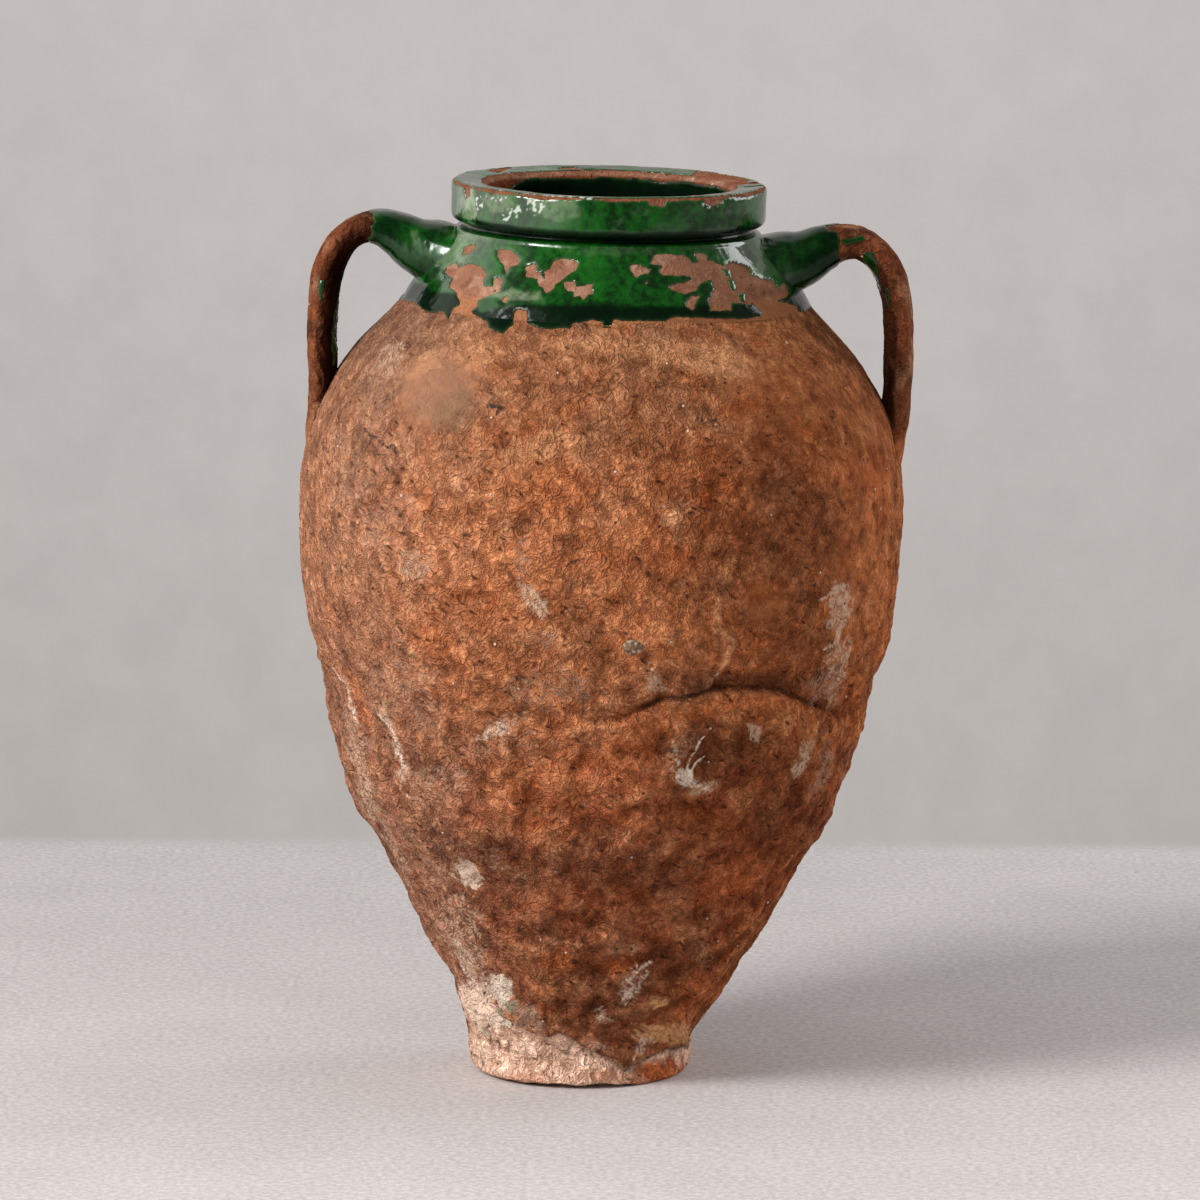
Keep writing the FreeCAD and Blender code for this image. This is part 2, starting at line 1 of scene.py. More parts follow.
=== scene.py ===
import bpy
import numpy as np
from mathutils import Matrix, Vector


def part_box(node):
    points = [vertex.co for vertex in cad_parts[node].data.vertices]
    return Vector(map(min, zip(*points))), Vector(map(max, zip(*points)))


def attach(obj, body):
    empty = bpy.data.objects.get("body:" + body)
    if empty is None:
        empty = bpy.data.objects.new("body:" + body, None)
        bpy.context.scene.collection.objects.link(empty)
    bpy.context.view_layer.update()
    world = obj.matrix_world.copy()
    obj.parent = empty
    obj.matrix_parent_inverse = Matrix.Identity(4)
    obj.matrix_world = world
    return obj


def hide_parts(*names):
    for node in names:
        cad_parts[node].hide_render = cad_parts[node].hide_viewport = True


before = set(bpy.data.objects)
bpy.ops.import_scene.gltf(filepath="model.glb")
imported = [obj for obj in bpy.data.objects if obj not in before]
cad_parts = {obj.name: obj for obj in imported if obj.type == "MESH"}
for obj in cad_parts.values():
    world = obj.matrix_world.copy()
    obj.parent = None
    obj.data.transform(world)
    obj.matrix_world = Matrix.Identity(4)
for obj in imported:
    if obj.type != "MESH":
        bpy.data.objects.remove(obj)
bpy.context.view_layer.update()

print("frame loaded")


# Colours and soft steps

def tint(red, green, blue):
    # screen colour 0-255 turned into linear light 0-1
    share = np.array((red, green, blue)) / 255
    return np.where(share <= 0.04045, share / 12.92, ((share + 0.055) / 1.055) ** 2.4)


def softStep(low, high, value):
    # 0 below low, 1 above high, with a smooth cubic between
    share = np.clip((value - low) / (high - low), 0, 1)
    return share * share * (3 - 2 * share)


def bell(value, width):
    return np.exp(-(value / width) ** 2)


def dab(colours, paint, weight):
    # moves every colour toward the paint by its weight, in place
    colours += (paint - colours) * weight[..., None]


# Camera: where the photograph was taken from, and its pixel grid

photoCamera = {
    "place": (0.01467, -5.5, 1.2078),
    "pitch": np.radians(9.076),     # looking down along +Y
    "focal": 8059.3,                # focal length in pixels
    "frame": 1200,                  # pixels across the picture
    "sensor": 36.0,
    "pixelsPerMetre": 1446,         # at the jar's distance
}


def toPhoto(points):
    # pixel of each point: its offset across and up the camera over its depth, times the focal length
    offset = points - np.array(photoCamera["place"])
    cosine, sine = np.cos(photoCamera["pitch"]), np.sin(photoCamera["pitch"])
    depth = offset[..., 1] * cosine - offset[..., 2] * sine
    rise = offset[..., 1] * sine + offset[..., 2] * cosine
    scale = photoCamera["focal"] / depth
    middle = photoCamera["frame"] / 2
    return middle + scale * offset[..., 0], middle - scale * rise


def seen(points, normals):
    # 1 where the surface faces the camera, falling to 0 at the jar's outline
    toward = np.array(photoCamera["place"]) - points
    toward /= np.linalg.norm(toward, axis=-1, keepdims=True)
    return softStep(0.0, 0.14, np.sum(toward * normals, axis=-1))


def inPhoto(points, normals):
    # pixel across and down of each point, and how far it is in view
    return (*toPhoto(points), seen(points, normals))


def makeCamera():
    lens = bpy.data.cameras.new("photoCamera")
    lens.sensor_width = photoCamera["sensor"]
    lens.lens = photoCamera["focal"] * photoCamera["sensor"] / photoCamera["frame"]
    lens.clip_end = 100
    camera = bpy.data.objects.new("photoCamera", lens)
    camera.location = photoCamera["place"]
    camera.rotation_euler = (np.pi / 2 - photoCamera["pitch"], 0, 0)
    bpy.context.scene.collection.objects.link(camera)
    bpy.context.scene.camera = camera


# Noise in space

noiseGain = 1.6                     # brings gradient noise to about -1 to 1


def noise(points, cell, seed):
    # gradient noise: random directions on a cubic lattice, blended with a quintic fade, about -1 to 1
    draw = np.random.default_rng(seed)
    shuffle = draw.permutation(256)
    arrows = draw.normal(size=(256, 3)).astype(np.float32)
    arrows /= np.linalg.norm(arrows, axis=1, keepdims=True)
    spot = (points / cell).astype(np.float32)
    corner = np.floor(spot).astype(np.int32)
    part = spot - corner
    fade = part ** 3 * (part * (part * 6 - 15) + 10)
    total = np.zeros(points.shape[:-1], np.float32)
    for step in np.ndindex(2, 2, 2):
        first = shuffle[(corner[..., 0] + step[0]) & 255]
        second = shuffle[(first + corner[..., 1] + step[1]) & 255]
        third = shuffle[(second + corner[..., 2] + step[2]) & 255]
        weight = np.prod(np.where(step, fade, 1 - fade), axis=-1)
        total += weight * np.sum(arrows[third] * (part - np.array(step, np.float32)), axis=-1)
    return total * noiseGain


def layers(points, cell, seed, count=3):
    # noise added to itself at half the size and half the height, count times
    return sum(noise(points, cell / 2 ** level, seed + level) / 2 ** level for level in range(count))


def billow(points, cell, seed):
    # rounded lumps with sharp creases between them: the size of a noise without its sign
    return 2.2 * np.abs(noise(points, cell, seed)) - 0.6


def strokesRelief(points, cell, seed):
    # ridges along the zero lines of a noise whose place is itself pushed about: short curved strokes
    push = np.stack([noise(points, cell * 2.2, seed + axis) for axis in range(3)], axis=-1)
    return 1 - 2.6 * np.abs(noise(points + push * cell * 0.7, cell, seed + 5))


def mottled(points, base, full, mottles):
    # a base colour with clouds of other paints (paint, cell size, seed, strength), whole where noise is full
    colours = np.zeros(points.shape) + base
    for paint, cell, seed, strength in mottles:
        dab(colours, paint, softStep(0.0, full, layers(points, cell, seed)) * strength)
    return colours


# Fields drawn on the photograph's pixels

def lineDistance(across, down, corners):
    # distance in pixels to the nearest stretch of a line through the corners
    best = np.full(across.shape, 1e9)
    for (x0, y0), (x1, y1) in zip(corners[:-1], corners[1:]):
        long = (x1 - x0) ** 2 + (y1 - y0) ** 2
        share = np.clip(((across - x0) * (x1 - x0) + (down - y0) * (y1 - y0)) / long, 0, 1)
        best = np.minimum(best, np.hypot(across - x0 - share * (x1 - x0), down - y0 - share * (y1 - y0)))
    return best


def patchDepth(across, down, corners):
    # distance in pixels to a closed outline, positive inside it
    ring = list(corners) + [corners[0]]
    inside = np.zeros(across.shape, bool)
    for (x0, y0), (x1, y1) in zip(ring[:-1], ring[1:]):
        if y0 == y1:
            continue
        crosses = (y0 > down) != (y1 > down)
        inside ^= crosses & (across < x0 + (down - y0) * (x1 - x0) / (y1 - y0))
    return np.where(inside, 1, -1) * lineDistance(across, down, ring)


def spotField(across, down, spot, ragged):
    # 1 in a turned ellipse (x, y, half width, half height, turn), 0 outside, with a ragged edge
    x, y, wide, high, turn = spot
    cosine, sine = np.cos(np.radians(turn)), np.sin(np.radians(turn))
    along = (across - x) * cosine + (down - y) * sine
    aside = (down - y) * cosine - (across - x) * sine
    return softStep(1.25, 0.5, np.hypot(along / wide, aside / high) + ragged)


def ledgeField(across, down, corners, reach):
    # 1 just below a line that runs left to right, 0 above it, fading away downwards and at its ends
    xs, ys = np.array(corners, float).T
    below = down - np.interp(across, xs, ys)
    ends = softStep(xs[0] - 6, xs[0] + 18, across) * softStep(xs[-1] + 6, xs[-1] - 18, across)
    return softStep(-1.6, 1.6, below) * np.exp(-np.maximum(below, 0) / reach) * ends


# Mesh making

def makePiece(name, points, faces, uvs=(), normals=None, floats=(), colours=()):
    # points (n, 3); faces a list of index arrays, one for each number of corners; uvs to match them
    mesh = bpy.data.meshes.new(name)
    points = np.ascontiguousarray(points.reshape(-1, 3), np.float32)
    mesh.vertices.add(len(points))
    mesh.vertices.foreach_set("co", points.ravel())
    corners = np.concatenate([group.ravel() for group in faces]).astype(np.int32)
    sizes = np.concatenate([np.full(len(group), group.shape[1]) for group in faces])
    starts = np.concatenate([[0], np.cumsum(sizes)[:-1]]).astype(np.int32)
    mesh.loops.add(len(corners))
    mesh.loops.foreach_set("vertex_index", corners)
    mesh.polygons.add(len(sizes))
    mesh.polygons.foreach_set("loop_start", starts)
    mesh.update(calc_edges=True)
    mesh.shade_smooth()
    if uvs:
        layer = mesh.uv_layers.new(name="wrap")
        layer.data.foreach_set("uv", np.concatenate([group.ravel() for group in uvs]).astype(np.float32))
    for label, values in dict(floats).items():
        layer = mesh.attributes.new(label, "FLOAT", "POINT")
        layer.data.foreach_set("value", np.ascontiguousarray(values, np.float32).ravel())
    for label, values in dict(colours).items():
        layer = mesh.attributes.new(label, "FLOAT_COLOR", "POINT")
        values = values.reshape(-1, values.shape[-1])
        full = np.concatenate([values, np.ones((len(values), 4 - values.shape[1]))], axis=1)
        layer.data.foreach_set("color", full.astype(np.float32).ravel())
    if normals is not None:
        mesh.normals_split_custom_set_from_vertices(normals.reshape(-1, 3).astype(np.float32))
    piece = bpy.data.objects.new(name, mesh)
    bpy.context.scene.collection.objects.link(piece)
    return piece


def settle(piece, slotName, material, *nodes):
    piece.data.materials.append(material)
    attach(piece, "root")
    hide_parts(*nodes)
    print("made", piece.name, len(piece.data.polygons), "faces")


def gridFaces(rows, columns, wrapRows):
    # quads of a grid whose columns close on themselves; rows close too where wrapRows is true
    last = rows if wrapRows else rows - 1
    row = np.arange(last)[:, None]
    column = np.arange(columns)[None, :]
    above, beside = (row + 1) % rows, (column + 1) % columns
    corners = (row * columns + column, row * columns + beside, above * columns + beside,
               above * columns + column)
    return np.stack(corners, axis=-1).reshape(-1, 4)


def gridNormals(points, wrapRows=False):
    # cross product of the steps along columns and along rows, taken across each point's neighbours
    around = np.roll(points, -1, axis=1) - np.roll(points, 1, axis=1)
    if wrapRows:
        along = np.roll(points, -1, axis=0) - np.roll(points, 1, axis=0)
    else:
        along = np.gradient(points, axis=0)
    normals = np.cross(around, along)
    return normals / np.maximum(np.linalg.norm(normals, axis=-1, keepdims=True), 1e-12)


def surfaceUv(points):
    # metres walked around each row from its middle column, and mean metres walked along the rows
    around = np.linalg.norm(np.roll(points, -1, axis=1) - points, axis=2)
    walked = np.concatenate([np.zeros((len(points), 1)), np.cumsum(around, axis=1)], axis=1)
    along = np.linalg.norm(np.diff(points, axis=0), axis=2).mean(axis=1)
    climbed = np.concatenate([[0], np.cumsum(along)])
    return np.stack([walked - walked[:, -1:] / 2, climbed[:, None] + 0 * walked], axis=-1)


def quadUv(uv, wrapRows):
    # the uv corners of every quad in gridFaces' order; a closing row goes on from the last
    if wrapRows:
        uv = np.concatenate([uv, uv[:1] * (1, 0) + (0, uv[-1, 0, 1] + 0.01)])
    return np.stack([uv[:-1, :-1], uv[:-1, 1:], uv[1:, 1:], uv[1:, :-1]], axis=2).reshape(-1, 4, 2)


def capEnds(grid):
    # the grid's points, then one in the middle of its first row and one in the middle of its last
    width = grid.shape[2:]
    middles = np.stack([grid[0].mean(axis=0), grid[-1].mean(axis=0)])
    return np.concatenate([grid.reshape(-1, *width), middles])


def capFaces(rows, columns):
    # fans from the first and last rows to the two middle points that capEnds adds
    column = np.arange(columns)
    beside = (column + 1) % columns
    top, count = (rows - 1) * columns, rows * columns
    low = np.stack([beside, column, np.full(columns, count)], axis=-1)
    high = np.stack([top + column, top + beside, np.full(columns, count + 1)], axis=-1)
    return np.concatenate([low, high])


def makeClosed(name, points, colours, grain, coat=None, wrapRows=True, normals=None, uv=None):
    # a grid closed into a solid: as a ring where its rows wrap, or with a fan at either end
    rows, columns = points.shape[:2]
    uv = surfaceUv(points) if uv is None else uv
    coat = np.zeros((rows, columns, 4)) if coat is None else coat
    faces = [gridFaces(rows, columns, wrapRows)]
    uvs = [quadUv(uv, wrapRows)]
    if not wrapRows:
        faces.append(capFaces(rows, columns))
        uvs.append(np.zeros((len(faces[1]), 3, 2)))
        points, colours, grain, coat = (capEnds(grid) for grid in (points, colours, grain, coat))
        normals = None if normals is None else capEnds(normals)
    return makePiece(name, points, faces, uvs, normals, {"grain": grain}, {"paint": colours, "coat": coat})


def smoothLine(stations, where):
    # cubic curve through stations (place, value ...), with slopes taken across each station's neighbours
    table = np.array(stations, float)
    knots, values = table[:, 0], table[:, 1:]
    slopes = np.gradient(values, knots, axis=0)
    where = np.asarray(where, float)
    index = np.clip(np.searchsorted(knots, where) - 1, 0, len(knots) - 2)
    span = (knots[index + 1] - knots[index])[..., None]
    share = (where - knots[index])[..., None] / span
    low, high = values[index], values[index + 1]
    return (low * (1 + 2 * share) * (1 - share) ** 2 + high * share ** 2 * (3 - 2 * share)
            + slopes[index] * span * share * (1 - share) ** 2
            + slopes[index + 1] * span * share ** 2 * (share - 1))


def roundedLine(corners, step):
    # points about step apart along a line whose corners (radius, height, trim) are rounded over trim
    path = []
    table = np.array(corners, float)
    for index, (spot, trim) in enumerate(zip(table[:, :2], table[:, 2])):
        if trim == 0 or index in (0, len(table) - 1):
            path.append(spot[None])
            continue
        back = table[index - 1, :2] - spot
        ahead = table[index + 1, :2] - spot
        start = spot + back / np.linalg.norm(back) * trim
        finish = spot + ahead / np.linalg.norm(ahead) * trim
        share = np.linspace(0, 1, 9)[:, None]
        path.append(start * (1 - share) ** 2 + 2 * spot * share * (1 - share) + finish * share ** 2)
    path = np.concatenate(path)
    length = np.concatenate([[0], np.cumsum(np.linalg.norm(np.diff(path, axis=0), axis=1))])
    marks = np.linspace(0, length[-1], max(2, int(round(length[-1] / step)) + 1))
    return np.stack([np.interp(marks, length, path[:, axis]) for axis in (0, 1)], axis=-1)


# The jar's leaning axis, with radius and height measured from it

jar = {
    "lean": np.radians(1.4),
    "axisOffset": 0.006,            # the wall's axis stands this far from the foot's
    "columns": 640,
    "wall": 0.014,
}
leanAcross = np.array([np.cos(jar["lean"]), 0, -np.sin(jar["lean"])])
leanUp = np.array([np.sin(jar["lean"]), 0, np.cos(jar["lean"])])
depthAxis = np.array([0.0, 1.0, 0.0])


def jarPoints(angle, radius, height):
    # axis offset along the lean, plus radius along the angle, plus height up the axis
    footShift = softStep(0.075, 0.012, height) * jar["axisOffset"]
    across = jar["axisOffset"] - footShift + radius * np.cos(angle)
    away = radius * np.sin(angle)
    return across[..., None] * leanAcross + away[..., None] * depthAxis + height[..., None] * leanUp


def jarPlace(points):
    # radius and height of points about the wall's axis, the reverse of jarPoints above the foot
    across = points @ leanAcross - jar["axisOffset"]
    return np.hypot(across, points[..., 1]), points @ leanUp


def turns(columns):
    # angles once round, starting at the jar's back
    return np.linspace(0, 2 * np.pi, columns, endpoint=False) + np.pi / 2


# Clay wall: foot, lower wall, belly wall and shoulder wall share one outer surface

wallOutline = (                     # height, radius
    (0.030, 0.0802), (0.047, 0.0871), (0.076, 0.1019), (0.104, 0.1182), (0.132, 0.1341),
    (0.161, 0.1499), (0.189, 0.1655), (0.217, 0.1763), (0.250, 0.1847), (0.285, 0.1923),
    (0.315, 0.2008), (0.343, 0.2053), (0.371, 0.2069), (0.395, 0.2073), (0.420, 0.2058),
    (0.445, 0.2018), (0.465, 0.1956), (0.485, 0.1843), (0.503, 0.1718), (0.521, 0.1552),
    (0.540, 0.1375),
)
wallJoints = {"footTop": 0.030, "seam": 0.285, "bellyTop": 0.395, "shoulderTop": 0.540}
wallRows = {"foot": 26, "lower": 138, "belly": 66, "shoulder": 90}
wallZones = {"low": (0.36, 0.24), "hollows": (0.40, 0.26), "high": (0.44, 0.52)}  # start, full
footShape = {
    "radius": 0.0767, "edge": 0.008, "hollow": 0.0004,
    "lift": 0.0040, "liftFrom": 492, "liftTo": 640,  # the worn arch, from pixel to pixel
}


def wallRadius(height):
    # the measured outline above the foot, and the foot's upright band with a rounded lower edge below it
    upper = smoothLine(wallOutline, np.clip(height, wallOutline[0][0], wallOutline[-1][0]))[..., 0]
    edge = footShape["edge"]
    sink = np.clip(edge - height, 0, edge)
    band = footShape["radius"] - edge + np.sqrt(np.maximum(edge ** 2 - sink ** 2, 0))
    blend = softStep(0.020, 0.040, height)
    return band * (1 - blend) + upper * blend


seamLines = {
    "lobe": ((596, 724), (627, 719), (645, 709), (660, 703), (688, 700), (715, 691), (745, 690),
             (785, 695), (805, 704), (822, 710), (842, 718)),
    "notch": ((312, 652), (330, 664), (345, 690), (368, 712), (392, 735), (406, 765)),
    "leftStep": ((430, 716), (470, 712), (500, 722), (540, 716), (575, 724), (607, 722)),
    "flap": ((470, 985), (500, 1014), (530, 1034), (547, 1039), (559, 1032), (586, 1049), (613, 1059),
             (625, 1070), (647, 1058), (666, 1049), (692, 1044)),
    "peel": ((729, 576), (719, 600), (717, 630), (734, 641), (724, 665), (706, 690)),
    "crackLeft": ((392, 462), (396, 480), (390, 496), (394, 512)),
    "crackRight": ((846, 486), (840, 500), (843, 512), (836, 524)),
    "crackMid": ((560, 512), (572, 516), (584, 512)),
    "flapEdge": ((543, 990), (548, 1004), (545, 1020), (547, 1038)),
}
seamLedges = (                      # line, rise in mm, reach in pixels, share of the wobble across and down
    ("lobe", 2.6, 46, 0.0, 1.0), ("notch", -3.4, 60, 1.0, 0.0), ("leftStep", 1.6, 30, 0.0, 1.0),
    ("flap", -4.2, 60, 0.0, 0.5),
)
seamGrooves = (                     # line, rise in mm, width in pixels, wobble across and down, pixels up
    ("lobe", -2.0, 2.6, 0.0, 1.0, 3), ("peel", 1.3, 4.0, 0.6, 0.0, 0), ("crackLeft", -0.9, 2.0, 0.5, 0.0, 0),
    ("crackRight", -1.1, 2.0, 0.5, 0.0, 0), ("crackMid", -0.7, 2.0, 0.5, 0.0, 0),
    ("flapEdge", -1.0, 2.0, 0.5, 0.0, 0),
)
spotGain = 1.3                      # for every height in reliefSpots
reliefSpots = (                     # x, y, half width, half height, turn, height in mm
    (757, 735, 62, 44, 8, 3.2), (752, 680, 54, 12, 0, -2.0), (835, 640, 16, 56, 8, 0.9),
    (688, 780, 17, 14, 20, 2.0), (468, 876, 13, 16, -30, -1.6), (812, 712, 16, 14, 0, -1.6),
    (800, 852, 20, 12, -30, 1.8), (560, 1000, 34, 36, 0, 2.4), (640, 985, 40, 30, 10, 1.8),
    (668, 1030, 24, 12, -15, 2.6), (505, 1018, 28, 18, 30, 2.0), (500, 900, 40, 30, 20, -2.0),
    (600, 860, 60, 26, 0, 1.8), (720, 900, 46, 30, -30, -1.8), (440, 750, 46, 34, 30, -2.0),
    (480, 690, 60, 30, 0, 1.5), (590, 770, 70, 34, 0, 1.8), (650, 730, 46, 20, -10, 1.4),
    (520, 600, 30, 26, 20, -1.0), (690, 840, 60, 20, 0, -1.2), (640, 800, 30, 46, 30, 1.4),
    (560, 690, 40, 16, -20, 1.6), (700, 740, 18, 44, 20, -2.0), (560, 930, 60, 18, -10, -1.8),
    (640, 920, 60, 22, -20, 1.8), (600, 660, 30, 40, -20, -1.2), (668, 640, 34, 50, 20, 1.2),
)


def twoLayers(points, cell, seed):
    return layers(points, cell, seed, 2)


def pushedBillow(points, cell, seed):
    # lumps whose places are pushed about, so that their creases don't run straight
    return billow(points + 0.010 * noise(points, 0.030, 26)[..., None], cell, seed)


def pits(points, cell, seed):
    return softStep(0.48, 0.72, noise(points, cell, seed))


wallNoises = (                      # kind, cell size, seed, height in mm, more low down, less high up
    (twoLayers, 0.075, 11, 0.85, 1.80, 0.30), (layers, 0.028, 21, 0.65, 1.30, 0.25),
    (pushedBillow, 0.040, 24, 0.35, 1.60, 0.25), (pushedBillow, 0.019, 25, 0.45, 0.60, 0.30),
    (strokesRelief, 0.0105, 31, 0.44, 0.275, 0.198), (noise, 0.0058, 41, 0.288, 0.18, 0.1296),
    (pits, 0.009, 43, -0.5, -0.9, 0.0),
)


def wallRelief(points, height, across, down, front):
    # noises in millimetres, stronger low down, the drawn marks in view, and a seam step on the unseen sides
    low = softStep(*wallZones["low"], height)
    high = softStep(*wallZones["high"], height)
    relief = np.zeros_like(height)
    for kind, cell, seed, rise, more, less in wallNoises:
        relief += kind(points, cell, seed) * (rise + more * low - less * high)
    ragged = 0.28 * noise(points, 0.012, 44)
    wobble = 3 * noise(points, 0.02, 45) + 1.5 * noise(points, 0.007, 46)
    drawn = np.zeros_like(relief)
    for *spot, rise in reliefSpots:
        drawn += spotGain * rise * spotField(across, down, spot, ragged)
    for label, rise, reach, sideways, upright in seamLedges:
        ledge = ledgeField(across + wobble * sideways, down + wobble * upright, seamLines[label], reach)
        drawn += rise * ledge
    for label, rise, width, sideways, upright, shift in seamGrooves:
        gap = lineDistance(across + wobble * sideways, down + wobble * upright + shift, seamLines[label])
        drawn += rise * bell(gap, width)
    relief += drawn * front
    seam = wallJoints["seam"] + 0.006 * noise(points, 0.09, 51) + 0.0015 * noise(points, 0.015, 52)
    under = seam - height
    step = softStep(-0.001, 0.0015, under) * np.exp(-np.maximum(under, 0) / 0.03)
    relief -= step * (1.9 + 1.2 * noise(points, 0.08, 53)) * (1 - front)
    relief *= softStep(0.002, 0.010, height) * (1 - 0.85 * softStep(0.522, 0.538, height))
    return relief * 0.001


def footUnderside(points, across):
    # height of the foot's lower edge: on the ground, but worn away in a shallow uneven arch at the front
    worn = softStep(footShape["liftFrom"], footShape["liftFrom"] + 26, across)
    worn *= softStep(footShape["liftTo"], footShape["liftTo"] - 20, across)
    uneven = 0.75 + 0.5 * noise(points, 0.016, 54)
    return footShape["lift"] * worn * uneven * (points[..., 1] < -0.03)


# Clay colours from the foot up, then patches: stains in the clay, coats lying on it, and painted shade and
# highlights

clayShades = (                      # height, colour of the clay there: its fired colour with painted shade and light by height, the shoulder painted darker and the belly lighter
    (0.000, tint(190, 124, 92)), (0.030, tint(184, 118, 84)), (0.060, tint(176, 106, 72)),
    (0.090, tint(172, 102, 68)), (0.160, tint(166, 94, 64)), (0.220, tint(174, 102, 68)),
    (0.290, tint(190, 116, 75)), (0.340, tint(202, 126, 82)), (0.420, tint(196, 123, 81)),
    (0.480, tint(170, 108, 72)), (0.540, tint(160, 106, 73)),
)
clayPaints = {
    "ember": tint(196, 102, 52), "umber": tint(92, 48, 28), "rust": tint(140, 70, 34),
    "shade": tint(62, 34, 22), "peach": tint(222, 158, 112), "flesh": tint(250, 206, 178),
    "ash": tint(172, 136, 114), "lime": tint(244, 226, 204), "dust": tint(210, 174, 146),
    "soot": tint(48, 46, 46), "greyTan": tint(148, 106, 82), "olive": tint(124, 96, 70),
    "moss": tint(134, 156, 130), "ochre": tint(228, 172, 120), "cream": tint(246, 216, 192),
}
stainAndPaintedLightSpots = (                      # x, y, half width, half height, turn, paint, strength
    (425, 372, 36, 24, -20, "greyTan", 0.75), (447, 402, 40, 30, -25, "greyTan", 0.95),
    (455, 412, 28, 20, -35, "olive", 0.55), (418, 366, 26, 14, -30, "peach", 0.25),
    (690, 355, 64, 16, 4, "peach", 0.45), (720, 368, 40, 14, 10, "peach", 0.35),
    (540, 445, 40, 16, -8, "peach", 0.50), (480, 350, 40, 16, 0, "peach", 0.30),
    (600, 345, 60, 10, 0, "peach", 0.20), (700, 470, 60, 34, 10, "rust", 0.50),
    (780, 420, 60, 50, 20, "rust", 0.35), (720, 520, 46, 34, 20, "rust", 0.45),
    (560, 490, 60, 26, -10, "ember", 0.28), (640, 560, 60, 34, 0, "ember", 0.30),
    (790, 540, 70, 60, 0, "umber", 0.50), (770, 610, 46, 26, -10, "umber", 0.40),
    (760, 590, 30, 16, -10, "rust", 0.45), (800, 650, 36, 40, 0, "umber", 0.40),
    (590, 655, 16, 28, 10, "umber", 0.30), (560, 640, 40, 26, 20, "umber", 0.12),
    (470, 610, 40, 20, 0, "rust", 0.30), (430, 640, 30, 16, 20, "ember", 0.28),
    # the shade spot here is painted shade in a hollow
    (425, 765, 22, 18, 0, "shade", 0.45), (350, 690, 10, 30, -20, "ember", 0.40),
    (360, 720, 12, 20, -20, "ember", 0.30), (700, 770, 14, 22, 20, "umber", 0.60),
    (726, 742, 30, 24, 0, "umber", 0.60), (765, 760, 50, 26, 0, "umber", 0.40),
    # painted highlight: the ember strips along the lit top of the lobe
    (690, 712, 40, 9, -8, "ember", 0.30), (760, 702, 46, 9, 0, "ember", 0.35),
    (630, 735, 40, 24, -10, "ember", 0.40), (600, 780, 90, 30, 0, "ember", 0.22),
    (780, 820, 60, 34, -20, "umber", 0.45), (700, 820, 60, 22, 0, "rust", 0.50),
    (640, 815, 80, 14, 0, "rust", 0.35), (475, 848, 46, 18, 0, "umber", 0.42),
    (560, 860, 90, 24, 0, "umber", 0.40), (640, 870, 80, 24, 0, "umber", 0.35),
    (600, 905, 90, 24, 0, "rust", 0.30), (730, 880, 46, 20, -40, "ember", 0.35),
    (470, 920, 30, 40, -30, "umber", 0.35), (560, 960, 60, 26, 0, "umber", 0.35),
    # the shade spot here is painted shade
    (575, 1012, 34, 24, 0, "umber", 0.55), (610, 1000, 24, 20, 0, "shade", 0.30),
    (660, 965, 60, 20, -10, "umber", 0.45), (620, 965, 18, 12, 0, "ember", 0.45),
    (560, 960, 20, 14, 0, "ember", 0.35), (690, 1004, 14, 30, 20, "ember", 0.40),
    (662, 1072, 30, 15, -10, "ember", 0.95), (604, 1076, 30, 8, 5, "ember", 0.40),
    (528, 1080, 26, 7, 8, "ember", 0.35), (560, 1062, 22, 7, 0, "rust", 0.22),
    (500, 1046, 14, 6, 20, "rust", 0.25),
    (470, 1060, 7, 14, 0, "greyTan", 0.45), (620, 1060, 10, 8, 0, "rust", 0.30),
    (628, 948, 26, 8, -12, "peach", 0.45), (520, 880, 24, 20, 0, "olive", 0.30),
)
